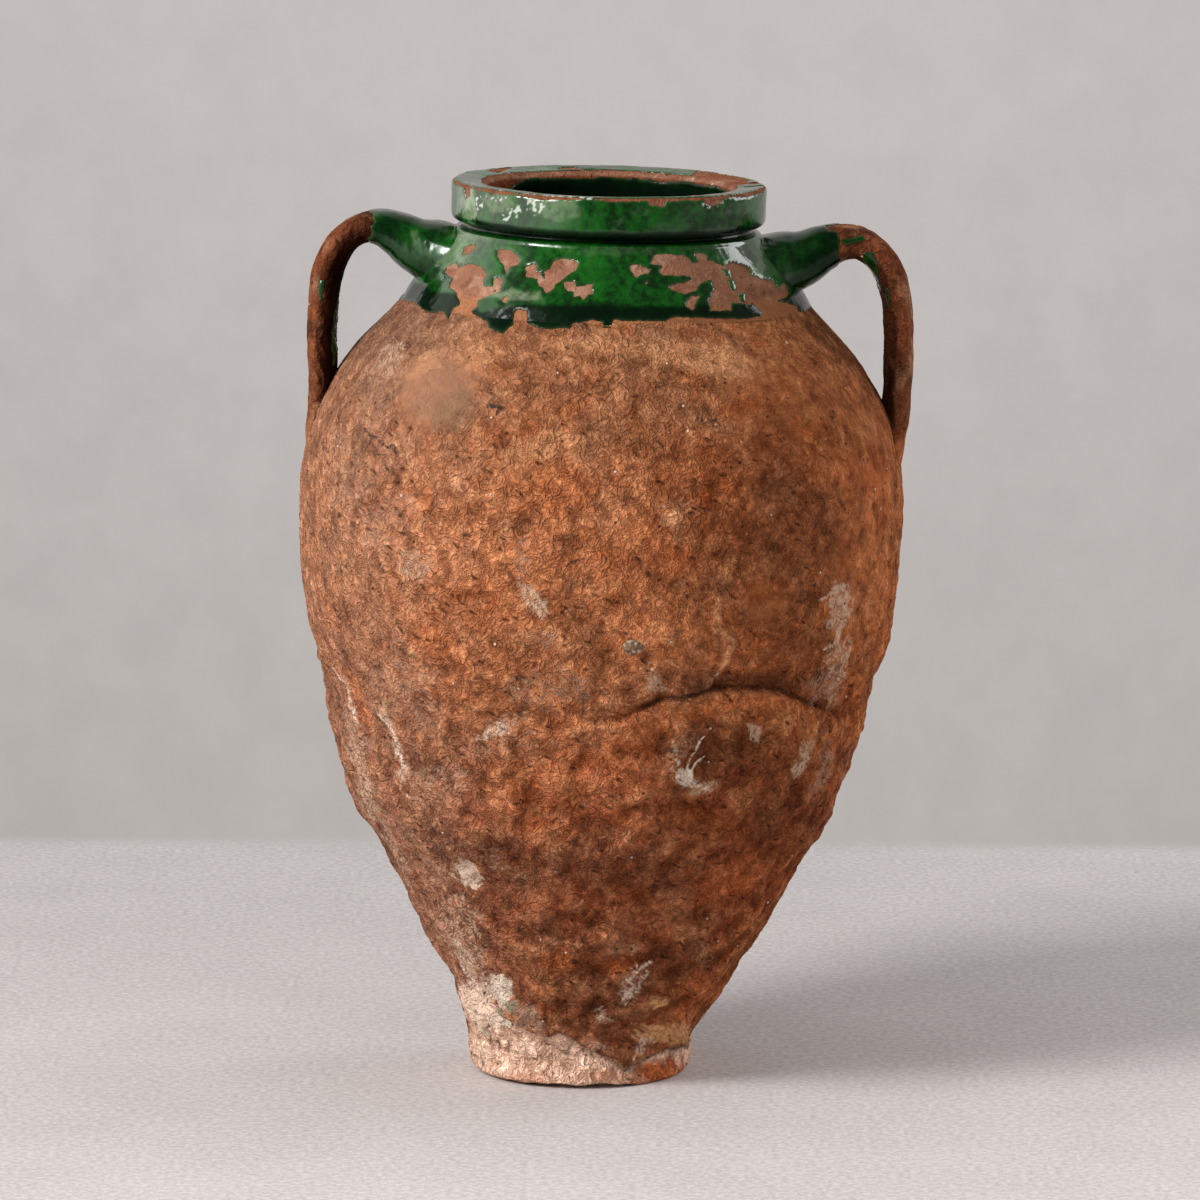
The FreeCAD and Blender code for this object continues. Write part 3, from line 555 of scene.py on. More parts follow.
coatAndPaintedHighlightSpots = (                       # x, y, half width, half height, turn, paint, strength
    (390, 362, 14, 26, 20, "dust", 0.55), (378, 385, 26, 40, 30, "ash", 0.40),
    # the peach spot here is a painted highlight
    (672, 518, 12, 8, -20, "peach", 0.85), (380, 520, 50, 36, 0, "ash", 0.40),
    (415, 566, 20, 18, 20, "dust", 0.55), (350, 480, 26, 60, 0, "ash", 0.40),
    (440, 560, 60, 30, 0, "ash", 0.25), (535, 602, 12, 24, -25, "dust", 0.70),
    (522, 560, 10, 34, 5, "ash", 0.42), (548, 640, 16, 14, 0, "ash", 0.45),
    (657, 684, 12, 14, -30, "dust", 0.55), (583, 688, 12, 18, -20, "ash", 0.50),
    (640, 646, 10, 10, 0, "dust", 0.40), (838, 612, 15, 32, 8, "dust", 0.66),
    (836, 665, 14, 46, 10, "dust", 0.58), (820, 690, 14, 20, 10, "ash", 0.50),
    (868, 600, 12, 90, 4, "ochre", 0.20), (494, 731, 24, 9, -26, "cream", 0.65),
    (520, 715, 40, 10, -20, "dust", 0.40), (390, 730, 10, 36, -20, "cream", 0.62),
    (354, 735, 12, 34, -24, "ash", 0.55), (345, 690, 9, 34, -20, "dust", 0.40),
    (404, 772, 14, 14, 40, "cream", 0.50), (440, 775, 46, 16, 10, "ash", 0.45),
    (370, 800, 16, 30, -24, "ash", 0.60), (685, 778, 13, 12, 30, "lime", 0.95),
    (702, 788, 20, 8, -10, "dust", 0.55), (680, 750, 16, 30, 16, "dust", 0.38),
    (751, 731, 7, 11, -10, "dust", 0.80), (797, 760, 9, 26, 16, "dust", 0.66),
    (820, 770, 9, 34, 14, "ash", 0.55), (468, 874, 14, 17, -30, "cream", 0.85),
    (498, 866, 16, 8, 10, "dust", 0.45), (520, 880, 10, 10, 0, "dust", 0.35),
    (430, 868, 16, 34, -32, "ash", 0.42), (470, 950, 22, 40, -24, "ash", 0.50),
    (484, 996, 14, 18, 0, "cream", 0.72), (505, 1000, 9, 12, -20, "cream", 0.65),
    (516, 1006, 9, 8, 40, "moss", 0.85), (500, 1022, 20, 9, 20, "lime", 0.80),
    (484, 1030, 7, 8, 0, "moss", 0.85), (500, 1012, 8, 5, 20, "moss", 0.75),
    (527, 1014, 16, 14, 40, "ash", 0.80),
    (538, 1030, 9, 8, 20, "ash", 0.66), (632, 985, 14, 26, 24, "cream", 0.52),
    (628, 950, 26, 8, -12, "dust", 0.45), (604, 1016, 14, 10, 0, "cream", 0.45),
    (655, 1002, 11, 9, -20, "ochre", 0.60), (653, 1032, 20, 12, -8, "ochre", 0.72),
    (676, 1034, 16, 16, 0, "ochre", 0.66), (692, 1010, 8, 24, 20, "ochre", 0.40),
    (640, 1050, 10, 14, 20, "cream", 0.45), (704, 958, 14, 22, -30, "dust", 0.30),
    (480, 1052, 9, 20, 0, "cream", 0.45), (560, 1048, 30, 10, 10, "cream", 0.35),
    (400, 835, 14, 40, -28, "ash", 0.42), (340, 650, 8, 30, -14, "ash", 0.35),
    (478, 1000, 20, 34, -10, "cream", 0.80), (468, 962, 12, 34, -24, "cream", 0.66),
    (502, 988, 12, 16, -30, "lime", 0.90), (460, 930, 26, 60, -26, "dust", 0.48),
    (400, 700, 50, 60, -20, "ash", 0.42), (440, 790, 44, 22, 0, "dust", 0.34),
    (540, 690, 60, 30, -10, "ash", 0.40), (500, 740, 60, 18, -10, "dust", 0.32),
    (360, 770, 10, 60, -18, "dust", 0.55), (395, 860, 9, 50, -26, "dust", 0.50),
    (470, 850, 50, 14, 10, "ash", 0.36), (560, 1050, 60, 14, 0, "cream", 0.40),
)
coatStrokes = (                     # corners, width in pixels, paint, strength
    (((489, 405), (497, 407), (507, 409)), 2.4, "soot", 1.0), (((497, 407), (498, 413)), 1.8, "soot", 0.9),
    (((697, 419), (706, 423), (714, 420)), 2.0, "soot", 0.9), (((706, 422), (720, 430)), 1.6, "soot", 0.8),
    (((366, 432), (378, 440), (388, 448)), 2.4, "soot", 0.8), (((374, 446), (376, 464)), 2.2, "soot", 0.7),
    (((364, 452), (372, 440)), 1.8, "soot", 0.7), (((392, 444), (396, 452)), 2.0, "soot", 0.8),
    (((567, 566), (570, 563), (582, 559)), 1.8, "soot", 0.9), (((757, 424), (760, 434)), 1.8, "soot", 0.6),
    (((322, 448), (328, 452)), 2.6, "soot", 0.7), (((382, 564), (384, 571)), 2.4, "soot", 0.8),
    (((345, 700), (352, 714), (357, 726)), 1.6, "cream", 0.8), (((377, 715), (389, 728)), 2.0, "cream", 0.9),
    (((388, 722), (396, 738), (394, 756)), 2.4, "cream", 0.9), (((394, 752), (404, 770)), 2.0, "cream", 0.8),
    (((404, 770), (398, 790)), 1.8, "dust", 0.7), (((334, 668), (345, 690)), 1.6, "cream", 0.7),
    (((685, 775), (692, 760), (704, 738)), 1.2, "lime", 0.9),
    (((684, 776), (676, 758), (672, 742)), 1.1, "lime", 0.8),
    (((686, 776), (698, 764), (706, 758)), 1.2, "lime", 0.9), (((682, 777), (668, 768)), 1.2, "lime", 0.8),
    (((690, 784), (712, 792)), 1.5, "lime", 0.7), (((682, 788), (676, 798)), 1.2, "dust", 0.7),
    (((648, 660), (655, 678), (668, 690)), 1.8, "dust", 0.8), (((640, 668), (650, 688)), 1.5, "dust", 0.7),
    (((600, 688), (612, 698), (606, 712)), 1.8, "dust", 0.6), (((668, 690), (690, 700)), 1.6, "dust", 0.6),
    (((628, 980), (640, 968), (652, 962)), 1.5, "cream", 0.8), (((622, 1000), (634, 984)), 1.5, "cream", 0.8),
    (((640, 1040), (634, 1060)), 1.5, "cream", 0.7), (((820, 600), (840, 588)), 1.6, "dust", 0.8),
    (((822, 650), (838, 640), (846, 600)), 1.5, "dust", 0.8), (((828, 690), (840, 660)), 1.6, "dust", 0.7),
)
stainAndPaintedShadeStrokes = (                    # corners, width in pixels, paint, strength; the shade strokes are painted shade in creases, cracks and nicks and along the lobe's edge, and the umber stroke along the flap is painted shadow under it
    (((719, 600), (717, 630), (734, 641), (724, 665), (708, 688)), 2.4, "peach", 0.75),
    (((688, 698), (715, 688), (745, 686), (785, 691), (805, 700), (826, 710)), 2.2, "shade", 0.75),
    (((640, 708), (660, 701), (688, 697)), 3.0, "shade", 0.65),
    (((690, 690), (745, 678), (796, 688)), 8.0, "shade", 0.55),
    (((582, 696), (584, 714)), 2.4, "shade", 0.75), (((610, 722), (640, 714)), 2.0, "shade", 0.40),
    (((546, 1016), (547, 1038), (560, 1032)), 2.0, "shade", 0.45),
    (((560, 1033), (586, 1050), (613, 1061), (626, 1071)), 2.0, "umber", 0.35),
    (((627, 1071), (648, 1059), (668, 1050), (690, 1046)), 2.4, "shade", 0.75),
    (((496, 1040), (497, 1049)), 1.8, "shade", 0.80), (((505, 1042), (506, 1050)), 1.6, "shade", 0.75),
    (((489, 1036), (490, 1042)), 1.6, "shade", 0.70), (((508, 1085), (520, 1083)), 2.0, "shade", 0.60),
    (((564, 1055), (574, 1057)), 1.6, "umber", 0.60), (((540, 1072), (548, 1078)), 1.6, "umber", 0.50),
    (((324, 660), (333, 668)), 2.0, "shade", 0.60), (((345, 702), (350, 712)), 1.6, "shade", 0.70),
    (((392, 470), (396, 486), (391, 500)), 1.5, "shade", 0.60),
    (((838, 496), (844, 510)), 1.6, "shade", 0.55),
)
clayMottles = (                     # paint, cell size, seed, strength
    ("ember", 0.050, 62, 0.30), ("umber", 0.060, 63, 0.30), ("peach", 0.030, 65, 0.22),
    ("rust", 0.024, 66, 0.36), ("umber", 0.014, 67, 0.46), ("greyTan", 0.040, 64, 0.30),
    ("peach", 0.012, 68, 0.30), ("shade", 0.009, 69, 0.30),
)
scatterPaints = {                   # paint: patch size on the unseen sides
    "umber": 0.050, "rust": 0.055, "ember": 0.060, "peach": 0.040, "shade": 0.030,
    "ash": 0.045, "dust": 0.030, "lime": 0.016, "ochre": 0.022, "soot": 0.006, "cream": 0.018,
}
# by side: ash and painted light paling the lit left, painted shade on the left shoulder, painted shade making
# the right darker and more orange
sideAshAndPaintedLight = {"leftAshAndPaintedLight": 0.35, "leftShoulderPaintedShade": 0.22, "right": (0.08, 0.20, 0.34)}
hollowShadeAndCrestLight = {"umber": (0.05, -1.4, 0.36), "peach": (0.15, 1.6, 0.26)}  # painted shade in hollows and painted highlight on crests: mm of height, strength
coatNames = ("ash", "dust", "lime", "ochre", "soot", "cream", "moss")


def layOn(colours, coat, label, weight):
    # stains, painted shade and painted highlights blend straight into the clay's colour; a coat keeps its own
    # colour and how thickly it lies
    if label not in coatNames:
        dab(colours, clayPaints[label], weight)
        return
    share = weight / np.maximum(np.maximum(weight, coat[..., 3]), 1e-6)
    coat[..., :3] += (clayPaints[label] - coat[..., :3]) * share[..., None]
    coat[..., 3] = np.maximum(coat[..., 3], weight)


def scatterPaint(points, front, colours, coat):
    # beyond the photograph: seeded round patches of the same paints, ragged by noise, over the unseen sides
    draw = np.random.default_rng(73)
    ragged = 0.5 * noise(points, 0.018, 74) + 0.35 * noise(points, 0.006, 75)
    for label, wide in list(scatterPaints.items()) * 9:
        turn, level = draw.uniform(0, 2 * np.pi), np.array(draw.uniform(0.02, 0.53))
        spot = jarPoints(np.array(turn), wallRadius(level), level)
        stretch = np.array([1, 1, draw.uniform(0.9, 1.8)])
        reach = np.linalg.norm((points - spot) * stretch, axis=-1) / (wide * draw.uniform(0.5, 1.1))
        strength = draw.uniform(0.3, 0.7)
        layOn(colours, coat, label, softStep(1.15, 0.55, reach + ragged) * strength * (1 - front))


def blurred(grid, reach):
    # mean over a square of grid points, with the rows held at their ends and the columns wrapped round
    padded = np.pad(grid, ((reach, reach), (0, 0)), "edge")
    count = 2 * reach + 1
    rows = sum(padded[step:step + len(grid)] for step in range(count)) / count
    return sum(np.roll(rows, step - reach, axis=1) for step in range(count)) / count


def wallPaint(points, height, angle, across, down, front, relief):
    # shade by height, mottles from noise, painted shade in hollows and painted highlight on crests, ash and
    # painted light on the left and painted shade on the right, then the drawn marks in view
    heights = np.array([row[0] for row in clayShades])
    shades = np.array([row[1] for row in clayShades])
    wander = height + 0.012 * layers(points, 0.05, 61)
    colours = np.stack([np.interp(wander, heights, shades[:, band]) for band in range(3)], axis=-1)
    coat = np.zeros((*height.shape, 4))
    for label, cell, seed, strength in clayMottles:
        layOn(colours, coat, label, softStep(0.10, 0.62, layers(points, cell, seed, 3)) * strength)
    # painted shade in the hollows and painted highlight on the crests of the relief
    proud = (blurred(relief, 1) - blurred(relief, 9)) * 1000
    lower = 0.55 + 0.45 * softStep(*wallZones["hollows"], height)
    for label, (start, full, strength) in hollowShadeAndCrestLight.items():
        layOn(colours, coat, label, softStep(start, full, proud) * strength * lower)
    # painted light and shade by side: ash and painted light on the left, painted shade on the left shoulder
    # and on the right, away from the lamp
    left = softStep(-0.2, -1.0, np.cos(angle))
    right = softStep(0.05, 0.8, np.cos(angle))
    dab(colours, clayPaints["ash"], left * sideAshAndPaintedLight["leftAshAndPaintedLight"])
    colours *= 1 - sideAshAndPaintedLight["leftShoulderPaintedShade"] * (left * softStep(*wallZones["high"], height))[..., None]
    colours *= 1 - right[..., None] * np.array(sideAshAndPaintedLight["right"])
    flapLine = np.array(seamLines["flap"], float).T
    below = down - np.interp(across, *flapLine) + 2.5 * noise(points, 0.008, 78)
    pale = softStep(-1.5, 1.5, below) * front
    pale += softStep(0.030, 0.027, height + 0.006 * layers(points, 0.03, 79)) * (1 - front)
    layOn(colours, coat, "flesh", 0.92 * pale * softStep(0.075, 0.055, height))
    ragged = 0.34 * noise(points, 0.014, 71) + 0.30 * noise(points, 0.005, 72)
    for *spot, label, strength in stainAndPaintedLightSpots + coatAndPaintedHighlightSpots:
        layOn(colours, coat, label, spotField(across, down, spot, ragged) * strength * front)
    shake = 1.6 * noise(points, 0.006, 76)
    for corners, width, label, strength in stainAndPaintedShadeStrokes + coatStrokes:
        weight = bell(lineDistance(across + shake, down - shake, corners), width) * strength * front
        layOn(colours, coat, label, weight)
    scatterPaint(points, front, colours, coat)
    return colours, coat


smoothSpots = (                     # x, y, half width, half height, turn, how far the strokes are smeared
    (438, 388, 48, 40, -25, 1.0), (765, 600, 34, 24, -10, 0.7), (860, 500, 34, 150, 4, 0.6),
    (780, 400, 60, 50, 10, 0.5),
)


def wallGrain(points, height, across, down, front):
    # strength of the fine relief: full below, a little less on the shoulder, weak on the smeared patches
    grain = 1.05 - 0.15 * softStep(0.42, 0.52, height)
    ragged = 0.3 * noise(points, 0.012, 77)
    smooth = sum(share * spotField(across, down, spot, ragged) for *spot, share in smoothSpots)
    return grain * (1 - 0.7 * np.clip(smooth, 0, 1) * front)


def wallHeights():
    # row heights spaced evenly along the outline within each section, and the row where each one starts
    marks = (0.0, *wallJoints.values())
    fine = np.linspace(0, wallJoints["shoulderTop"], 4000)
    length = np.concatenate([[0], np.cumsum(np.hypot(np.diff(wallRadius(fine)), np.diff(fine)))])
    heights, starts = [np.zeros(1)], [0]
    for low, high, rows in zip(marks[:-1], marks[1:], wallRows.values()):
        span = np.linspace(np.interp(low, fine, length), np.interp(high, fine, length), rows + 1)[1:]
        heights.append(np.interp(span, length, fine))
        starts.append(starts[-1] + rows)
    return np.concatenate(heights), starts


def wallGrid(levels, columns):
    # the outer wall at these heights: plain, as the photograph shows it, and with its relief
    angle = turns(columns)[None, :] + 0 * levels[:, None]
    height = levels[:, None] + 0 * angle
    radius = wallRadius(height)
    plain = jarPoints(angle, radius, height)
    photo = inPhoto(plain, gridNormals(plain))
    relief = wallRelief(plain, height, *photo)
    return {"angle": angle, "height": height, "radius": radius, "plain": plain, "photo": photo,
            "relief": relief, "points": jarPoints(angle, radius + relief, height)}


def wallSurface():
    # the whole outer wall as one grid, so that its sections meet without a break
    levels, starts = wallHeights()
    grid = wallGrid(levels, jar["columns"])
    plain, height, photo, points = (grid[label] for label in ("plain", "height", "photo", "points"))
    worn = footUnderside(plain, photo[0]) * softStep(0.030, 0.0, height) ** 0.5
    points[..., 2] = np.maximum(points[..., 2], worn)
    colours, coat = wallPaint(plain, height, grid["angle"], *photo, grid["relief"])
    print("clay wall worked out", points.shape)
    return {**grid, "normals": gridNormals(points), "colours": colours, "coat": coat, "starts": starts,
            "grain": wallGrain(plain, height, *photo), "uv": surfaceUv(points)}


def makeWallPiece(name, node, surface, points, rows, own, ring, material):
    # rows says whose looks each row takes, and own is the slice of them that lies on the wall's surface
    normals = gridNormals(points, ring)
    normals[own] = surface["normals"][rows[own]]
    colours, grain, coat, uv = (surface[label][rows] for label in ("colours", "grain", "coat", "uv"))
    piece = makeClosed(name, points, colours, grain, coat, ring, normals, uv)
    settle(piece, "clay", material, node)


def makeWallRing(name, node, surface, low, high, material):
    # outer rows going up, then a few plain rows coming down inside the wall's thickness
    outer = np.arange(low, high + 1)
    inner = np.linspace(high, low, max(3, len(outer) // 9)).round().astype(int)
    inside = jarPoints(surface["angle"][inner], surface["radius"][inner] - jar["wall"],
                       surface["height"][inner])
    points = np.concatenate([surface["points"][outer], inside])
    rows = np.concatenate([outer, inner])
    makeWallPiece(name, node, surface, points, rows, slice(len(outer)), True, material)


def makeFoot(surface, material):
    # a solid disc: rings out from the middle of its underside, up the outer rows, and in across its top
    top = surface["starts"][1]
    outer = np.arange(0, top + 1)
    lowest, highest = surface["points"][0], surface["points"][top]
    under = [lowest * (share, share, 0) + (0, 0, footShape["hollow"]) for share in (0.02, 0.4, 0.8, 0.95)]
    over = [highest + (highest.mean(axis=0) - highest) * share for share in (0.5, 0.98)]
    points = np.concatenate([np.array(under), surface["points"][outer], np.array(over)])
    rows = np.concatenate([np.zeros(len(under), int), outer, np.full(len(over), top)])
    own = slice(len(under), len(under) + len(outer))
    makeWallPiece("footClay", "foot", surface, points, rows, own, False, material)


# Neck and rim, thrown smooth

neckShape = {
    "outline": (                    # radius, height, length of the rounding at that corner
        (0.1394, 0.5375, 0), (0.1334, 0.5486, 0.0075), (0.1047, 0.5850, 0.0008), (0.1045, 0.5868, 0.0008),
        (0.0986, 0.5886, 0.0009), (0.0984, 0.5912, 0),
    ),
    "inside": ((0.0826, 0.5912, 0), (0.1235, 0.5385, 0)),
    "columns": 520,
    "step": 0.0014,
}
rimShape = {
    "outline": (
        (0.0984, 0.5908, 0), (0.0990, 0.5924, 0.0008), (0.1073, 0.5934, 0.0052), (0.1073, 0.6200, 0.0034),
        (0.0868, 0.6182, 0.0020), (0.0826, 0.6136, 0.0024), (0.0826, 0.5908, 0),
    ),
    "columns": 520,
    "step": 0.0012,
}
barePaints = {
    "flaked": tint(150, 104, 82), "flakedDark": tint(120, 76, 55), "flakedPale": tint(172, 132, 110),
    "lip": tint(132, 74, 46), "inside": tint(112, 60, 36),
}
bareMottles = (                     # paint, cell size, seed, strength
    (barePaints["flakedDark"], 0.016, 91, 0.7), (barePaints["flakedPale"], 0.012, 92, 0.7),
)


def turnedSurface(outline, columns):
    # the outline carried round the jar's axis, with a slow hand-turned wobble and a faint grain
    angle = turns(columns)[None, :]
    radius, height = outline[:, :1] + 0 * angle, outline[:, 1:] + 0 * angle
    plain = jarPoints(angle + 0 * radius, radius, height)
    wobble = 0.0007 * noise(plain, 0.07, 81) + 0.00022 * noise(plain, 0.014, 82)
    points = plain + gridNormals(plain) * (wobble + 0.00008 * noise(plain, 0.004, 83))[..., None]
    return points, gridNormals(points)


def barePaint(points):
    # three shades of bare clay mixed by noise
    return mottled(points, barePaints["flaked"], 0.55, bareMottles)


def makeNeckClay(material):
    outer = roundedLine(neckShape["outline"], neckShape["step"])
    inner = roundedLine(neckShape["inside"], 0.006)
    points, _ = turnedSurface(np.concatenate([outer, inner]), neckShape["columns"])
    colours = barePaint(points)
    shoulder = softStep(0.5535, 0.5465, jarPlace(points)[1] + 0.002 * noise(points, 0.012, 93))
    dab(colours, clayShades[-1][1], shoulder)
    # painted shade: the neck's clay darker on the right, away from the lamp
    right = softStep(0.02, 0.10, points[..., 0])[..., None]
    colours *= 1 - right * np.array([0.24, 0.28, 0.34])
    piece = makeClosed("neckClay", points, colours, np.full(colours.shape[:2], 0.35))
    settle(piece, "clay", material, "neck")


def makeRimClay(material):
    points, _ = turnedSurface(roundedLine(rimShape["outline"], rimShape["step"]), rimShape["columns"])
    colours = barePaint(points)
    radius, height = jarPlace(points)
    dab(colours, barePaints["lip"], softStep(0.616, 0.619, height) * 0.75)
    # painted shade: the rim's inner face darker inside the mouth
    dab(colours, barePaints["inside"], softStep(0.0845, 0.0835, radius))
    piece = makeClosed("rimClay", points, colours, np.full(colours.shape[:2], 0.5))
    settle(piece, "clay", material, "rim")


# Handles: straps that spring from the neck, arch over and run down into the shoulder

handleShapes = {
    "left": {
        "direction": -1,
        "innerShade": (-0.75, 0.20, 0.94),  # inward turn where the painted shade starts and is full, and its strength
        "stations": (               # radius, height, thickness, width
            (0.0975, 0.5650, 0.0440, 0.076), (0.1090, 0.5655, 0.0430, 0.070), (0.1200, 0.5690, 0.0420, 0.060),
            (0.1320, 0.5735, 0.0355, 0.050), (0.1440, 0.5802, 0.0290, 0.044), (0.1560, 0.5845, 0.0236, 0.042),
            (0.1665, 0.5840, 0.0205, 0.042), (0.1775, 0.5785, 0.0203, 0.042), (0.1870, 0.5670, 0.0203, 0.042),
            (0.1925, 0.5500, 0.0202, 0.042), (0.1948, 0.5280, 0.0200, 0.042), (0.1950, 0.5050, 0.0196, 0.042),
            (0.1942, 0.4820, 0.0192, 0.043), (0.1935, 0.4620, 0.0196, 0.047), (0.1950, 0.4420, 0.0185, 0.054),
            (0.1962, 0.4250, 0.0130, 0.060),
        ),
    },
    "right": {
        "direction": 1,
        "innerShade": (-0.35, 0.60, 0.76),
        "stations": (
            (0.0975, 0.5630, 0.0440, 0.076), (0.1090, 0.5635, 0.0430, 0.070), (0.1210, 0.5667, 0.0420, 0.060),
            (0.1340, 0.5706, 0.0362, 0.050), (0.1470, 0.5775, 0.0300, 0.044), (0.1600, 0.5822, 0.0246, 0.042),
            (0.1715, 0.5823, 0.0220, 0.042), (0.1830, 0.5760, 0.0203, 0.042), (0.1925, 0.5645, 0.0203, 0.042),
            (0.1985, 0.5480, 0.0202, 0.042), (0.2010, 0.5260, 0.0200, 0.042), (0.2018, 0.5020, 0.0196, 0.042),
            (0.2015, 0.4800, 0.0192, 0.043), (0.2000, 0.4600, 0.0196, 0.047), (0.1985, 0.4420, 0.0180, 0.054),
            (0.1970, 0.4250, 0.0130, 0.060),
        ),
    },
}
handleGrid = {"along": 280, "around": 112, "squareness": 2.5, "sink": 0.009}
handlePaints = {
    "bark": tint(128, 74, 46), "barkDark": tint(70, 38, 24), "barkPale": tint(190, 138, 104),
    # the left and right paints are the wall's colour at the lower end, painted paler on the lit left handle
    # and more orange on the shaded right
    "barkRed": tint(118, 60, 38), "left": tint(178, 122, 88), "right": tint(178, 104, 64),
}
barkMottles = (                     # paint, cell size, seed, strength
    (handlePaints["barkDark"], 0.020, 111, 0.75), (handlePaints["barkPale"], 0.014, 112, 0.45),
    (handlePaints["barkRed"], 0.028, 113, 0.6),
)


def outerRadius(height):
    # the jar's outside at a height: wall below the shoulder's top, neck above it
    corners = neckShape["outline"][1:]
    neckLine = np.interp(height, [row[1] for row in corners], [row[0] for row in corners])
    return np.where(height < wallJoints["shoulderTop"], wallRadius(height), neckLine)


def handleSurface(shape):
    # a squared-off ellipse carried along the strap's centre line, wider where it was luted on
    stations = np.array(shape["stations"])
    run = np.concatenate([[0], np.cumsum(np.hypot(*np.diff(stations[:, :2], axis=0).T))])
    where = np.linspace(0, run[-1], handleGrid["along"])
    radius, height, thick, wide = smoothLine(np.concatenate([run[:, None], stations], axis=1), where).T
    tangent = np.gradient(np.stack([radius, height], -1), axis=0)
    tangent /= np.linalg.norm(tangent, axis=1, keepdims=True)
    turn = turns(handleGrid["around"]) + np.pi / 2
    power = 2 / handleGrid["squareness"]
    upright = np.sign(np.cos(turn)) * np.abs(np.cos(turn)) ** power
    sideways = -np.sign(np.sin(turn)) * np.abs(np.sin(turn)) ** power
    lift = upright[None, :] * thick[:, None] / 2
    away = sideways[None, :] * wide[:, None] / 2
    reach = radius[:, None] - lift * tangent[:, 1:]
    level = height[:, None] + lift * tangent[:, :1]
    grow = np.maximum((outerRadius(level) - handleGrid["sink"]) / np.hypot(reach, away), 1)
    across = jar["axisOffset"] + shape["direction"] * reach * grow
    plain = across[..., None] * leanAcross + level[..., None] * leanUp \
        + (shape["direction"] * away * grow)[..., None] * depthAxis
    share = (where / run[-1])[:, None] + 0 * away
    relief = 0.0012 * layers(plain, 0.026, 101, 2) + 0.0004 * strokesRelief(plain * (1, 1, 0.5), 0.007, 105)
    relief *= 0.3 + 0.7 * softStep(0.2, 0.45, share)
    return plain + gridNormals(plain) * relief[..., None], share


def makeHandle(side, material):
    # mottled bark, the wall's colour at the lower end, painted paler on the lit left handle, and painted
    # shade on the side that faces the jar
    points, share = handleSurface(handleShapes[side])
    normals = gridNormals(points)
    stretched = points * np.array([1, 1, 0.55])
    colours = mottled(stretched, handlePaints["bark"], 0.6, barkMottles)
    # the lower end painted in the wall's colour for its side, with that side's painted light and shade
    dab(colours, handlePaints[side], softStep(0.466, 0.436, jarPlace(points)[1]) * 0.9)
    # painted shade on the faces turned toward the jar, stronger on the left handle
    inward = -normals[..., 0] * handleShapes[side]["direction"]
    start, full, strength = handleShapes[side]["innerShade"]
    colours *= 1 - strength * softStep(start, full, inward)[..., None] * np.array([0.98, 1.02, 1.06])
    piece = makeClosed(side + "HandleClay", points, colours, np.full(share.shape, 0.8), None, False)
    settle(piece, "clay", material, side + "_handle", side + "_handle_lute")
    return points, normals, share


# Glaze: thin skins over the clay, cut back to what is left of them

glazeShape = {"thick": 0.00075, "edge": 0.0004, "sunk": 0.0004, "taper": 2.4}
neckFlakes = {
    "leftPatch": ((447, 266), (456, 263), (459, 268), (468, 264), (481, 266), (487, 275), (483, 282),
                  (485, 287), (493, 286), (494, 279), (502, 277), (503, 282), (500, 292), (493, 294),
                  (487, 297), (478, 301), (478, 307), (470, 312), (465, 315), (460, 302), (456, 292),
                  (449, 287), (452, 279), (445, 273)),
    "leftSpot": ((498, 250), (511, 250), (521, 259), (518, 266), (511, 266), (506, 274), (504, 266),
                 (497, 256)),
    "leftFleck": ((462, 255), (465, 247), (476, 244), (474, 250), (469, 255)),
    "midPatch": ((525, 267), (534, 264), (537, 268), (536, 272), (543, 272), (550, 269), (554, 261),
                 (562, 259), (572, 260), (578, 263), (576, 270), (568, 275), (559, 283), (555, 284),
                 (554, 289), (547, 294), (543, 289), (539, 286), (537, 279), (526, 277)),
    "midSpot": ((564, 282), (574, 281), (576, 287), (583, 286), (593, 284), (592, 289), (593, 294),
                (587, 296), (583, 300), (580, 296), (574, 297), (572, 292), (568, 292), (564, 287)),
    "lowFleck": ((501, 301), (507, 295), (509, 296), (506, 304)),
    "rightSpot": ((628, 266), (639, 264), (642, 267), (651, 269), (649, 274), (641, 275), (636, 279),
                  (632, 274)),
    "rightFleck": ((643, 283), (648, 280), (647, 285)),
    "rightPatch": ((650, 253), (661, 249), (668, 250), (673, 246), (681, 248), (686, 251), (684, 256),
                   (690, 259), (692, 263), (711, 260), (723, 266), (732, 262), (747, 267), (751, 275),
                   (763, 279), (775, 282), (778, 290), (784, 282), (789, 292), (786, 297), (778, 301),
                   (798, 306), (798, 335), (763, 335), (762, 313), (753, 305), (732, 303), (731, 311),
                   (711, 311), (708, 301), (714, 289), (711, 280), (701, 283), (697, 290), (685, 294),
                   (671, 290), (668, 286), (685, 282), (692, 279), (687, 276), (662, 275), (658, 272),
                   (662, 266), (651, 264), (653, 257)),
    "rightLowSpot": ((686, 301), (692, 296), (698, 297), (695, 306), (692, 311), (686, 306)),
    "rightHighSpot": ((693, 249), (701, 249), (707, 256), (707, 263), (700, 262), (694, 256)),
}
neckIslands = {
    "upper": ((722, 269), (729, 270), (732, 279), (726, 276)),
    "middle": ((728, 279), (734, 280), (736, 290), (732, 290)),
    "lower": ((737, 293), (745, 294), (745, 302), (741, 301)),
    "inMid": ((541, 273), (545, 273), (544, 278), (541, 277)),
    "inRight": ((677, 250), (682, 251), (681, 255), (676, 254)),
}
neckCoat = (                        # what the glaze covers, its lower edge drawn from left to right
    (380, 150), (380, 296), (414, 302), (422, 309), (430, 313), (444, 312), (448, 320), (454, 308),
    (461, 304), (472, 313), (487, 322), (490, 329), (502, 333), (513, 326), (514, 314), (517, 310),
    (527, 310), (528, 325), (543, 329), (569, 328), (576, 323), (595, 320), (602, 322), (603, 328),
    (612, 327), (613, 320), (635, 321), (666, 321), (671, 317), (744, 319), (760, 316), (790, 309),
    (804, 312), (814, 304), (830, 296), (830, 150),
)


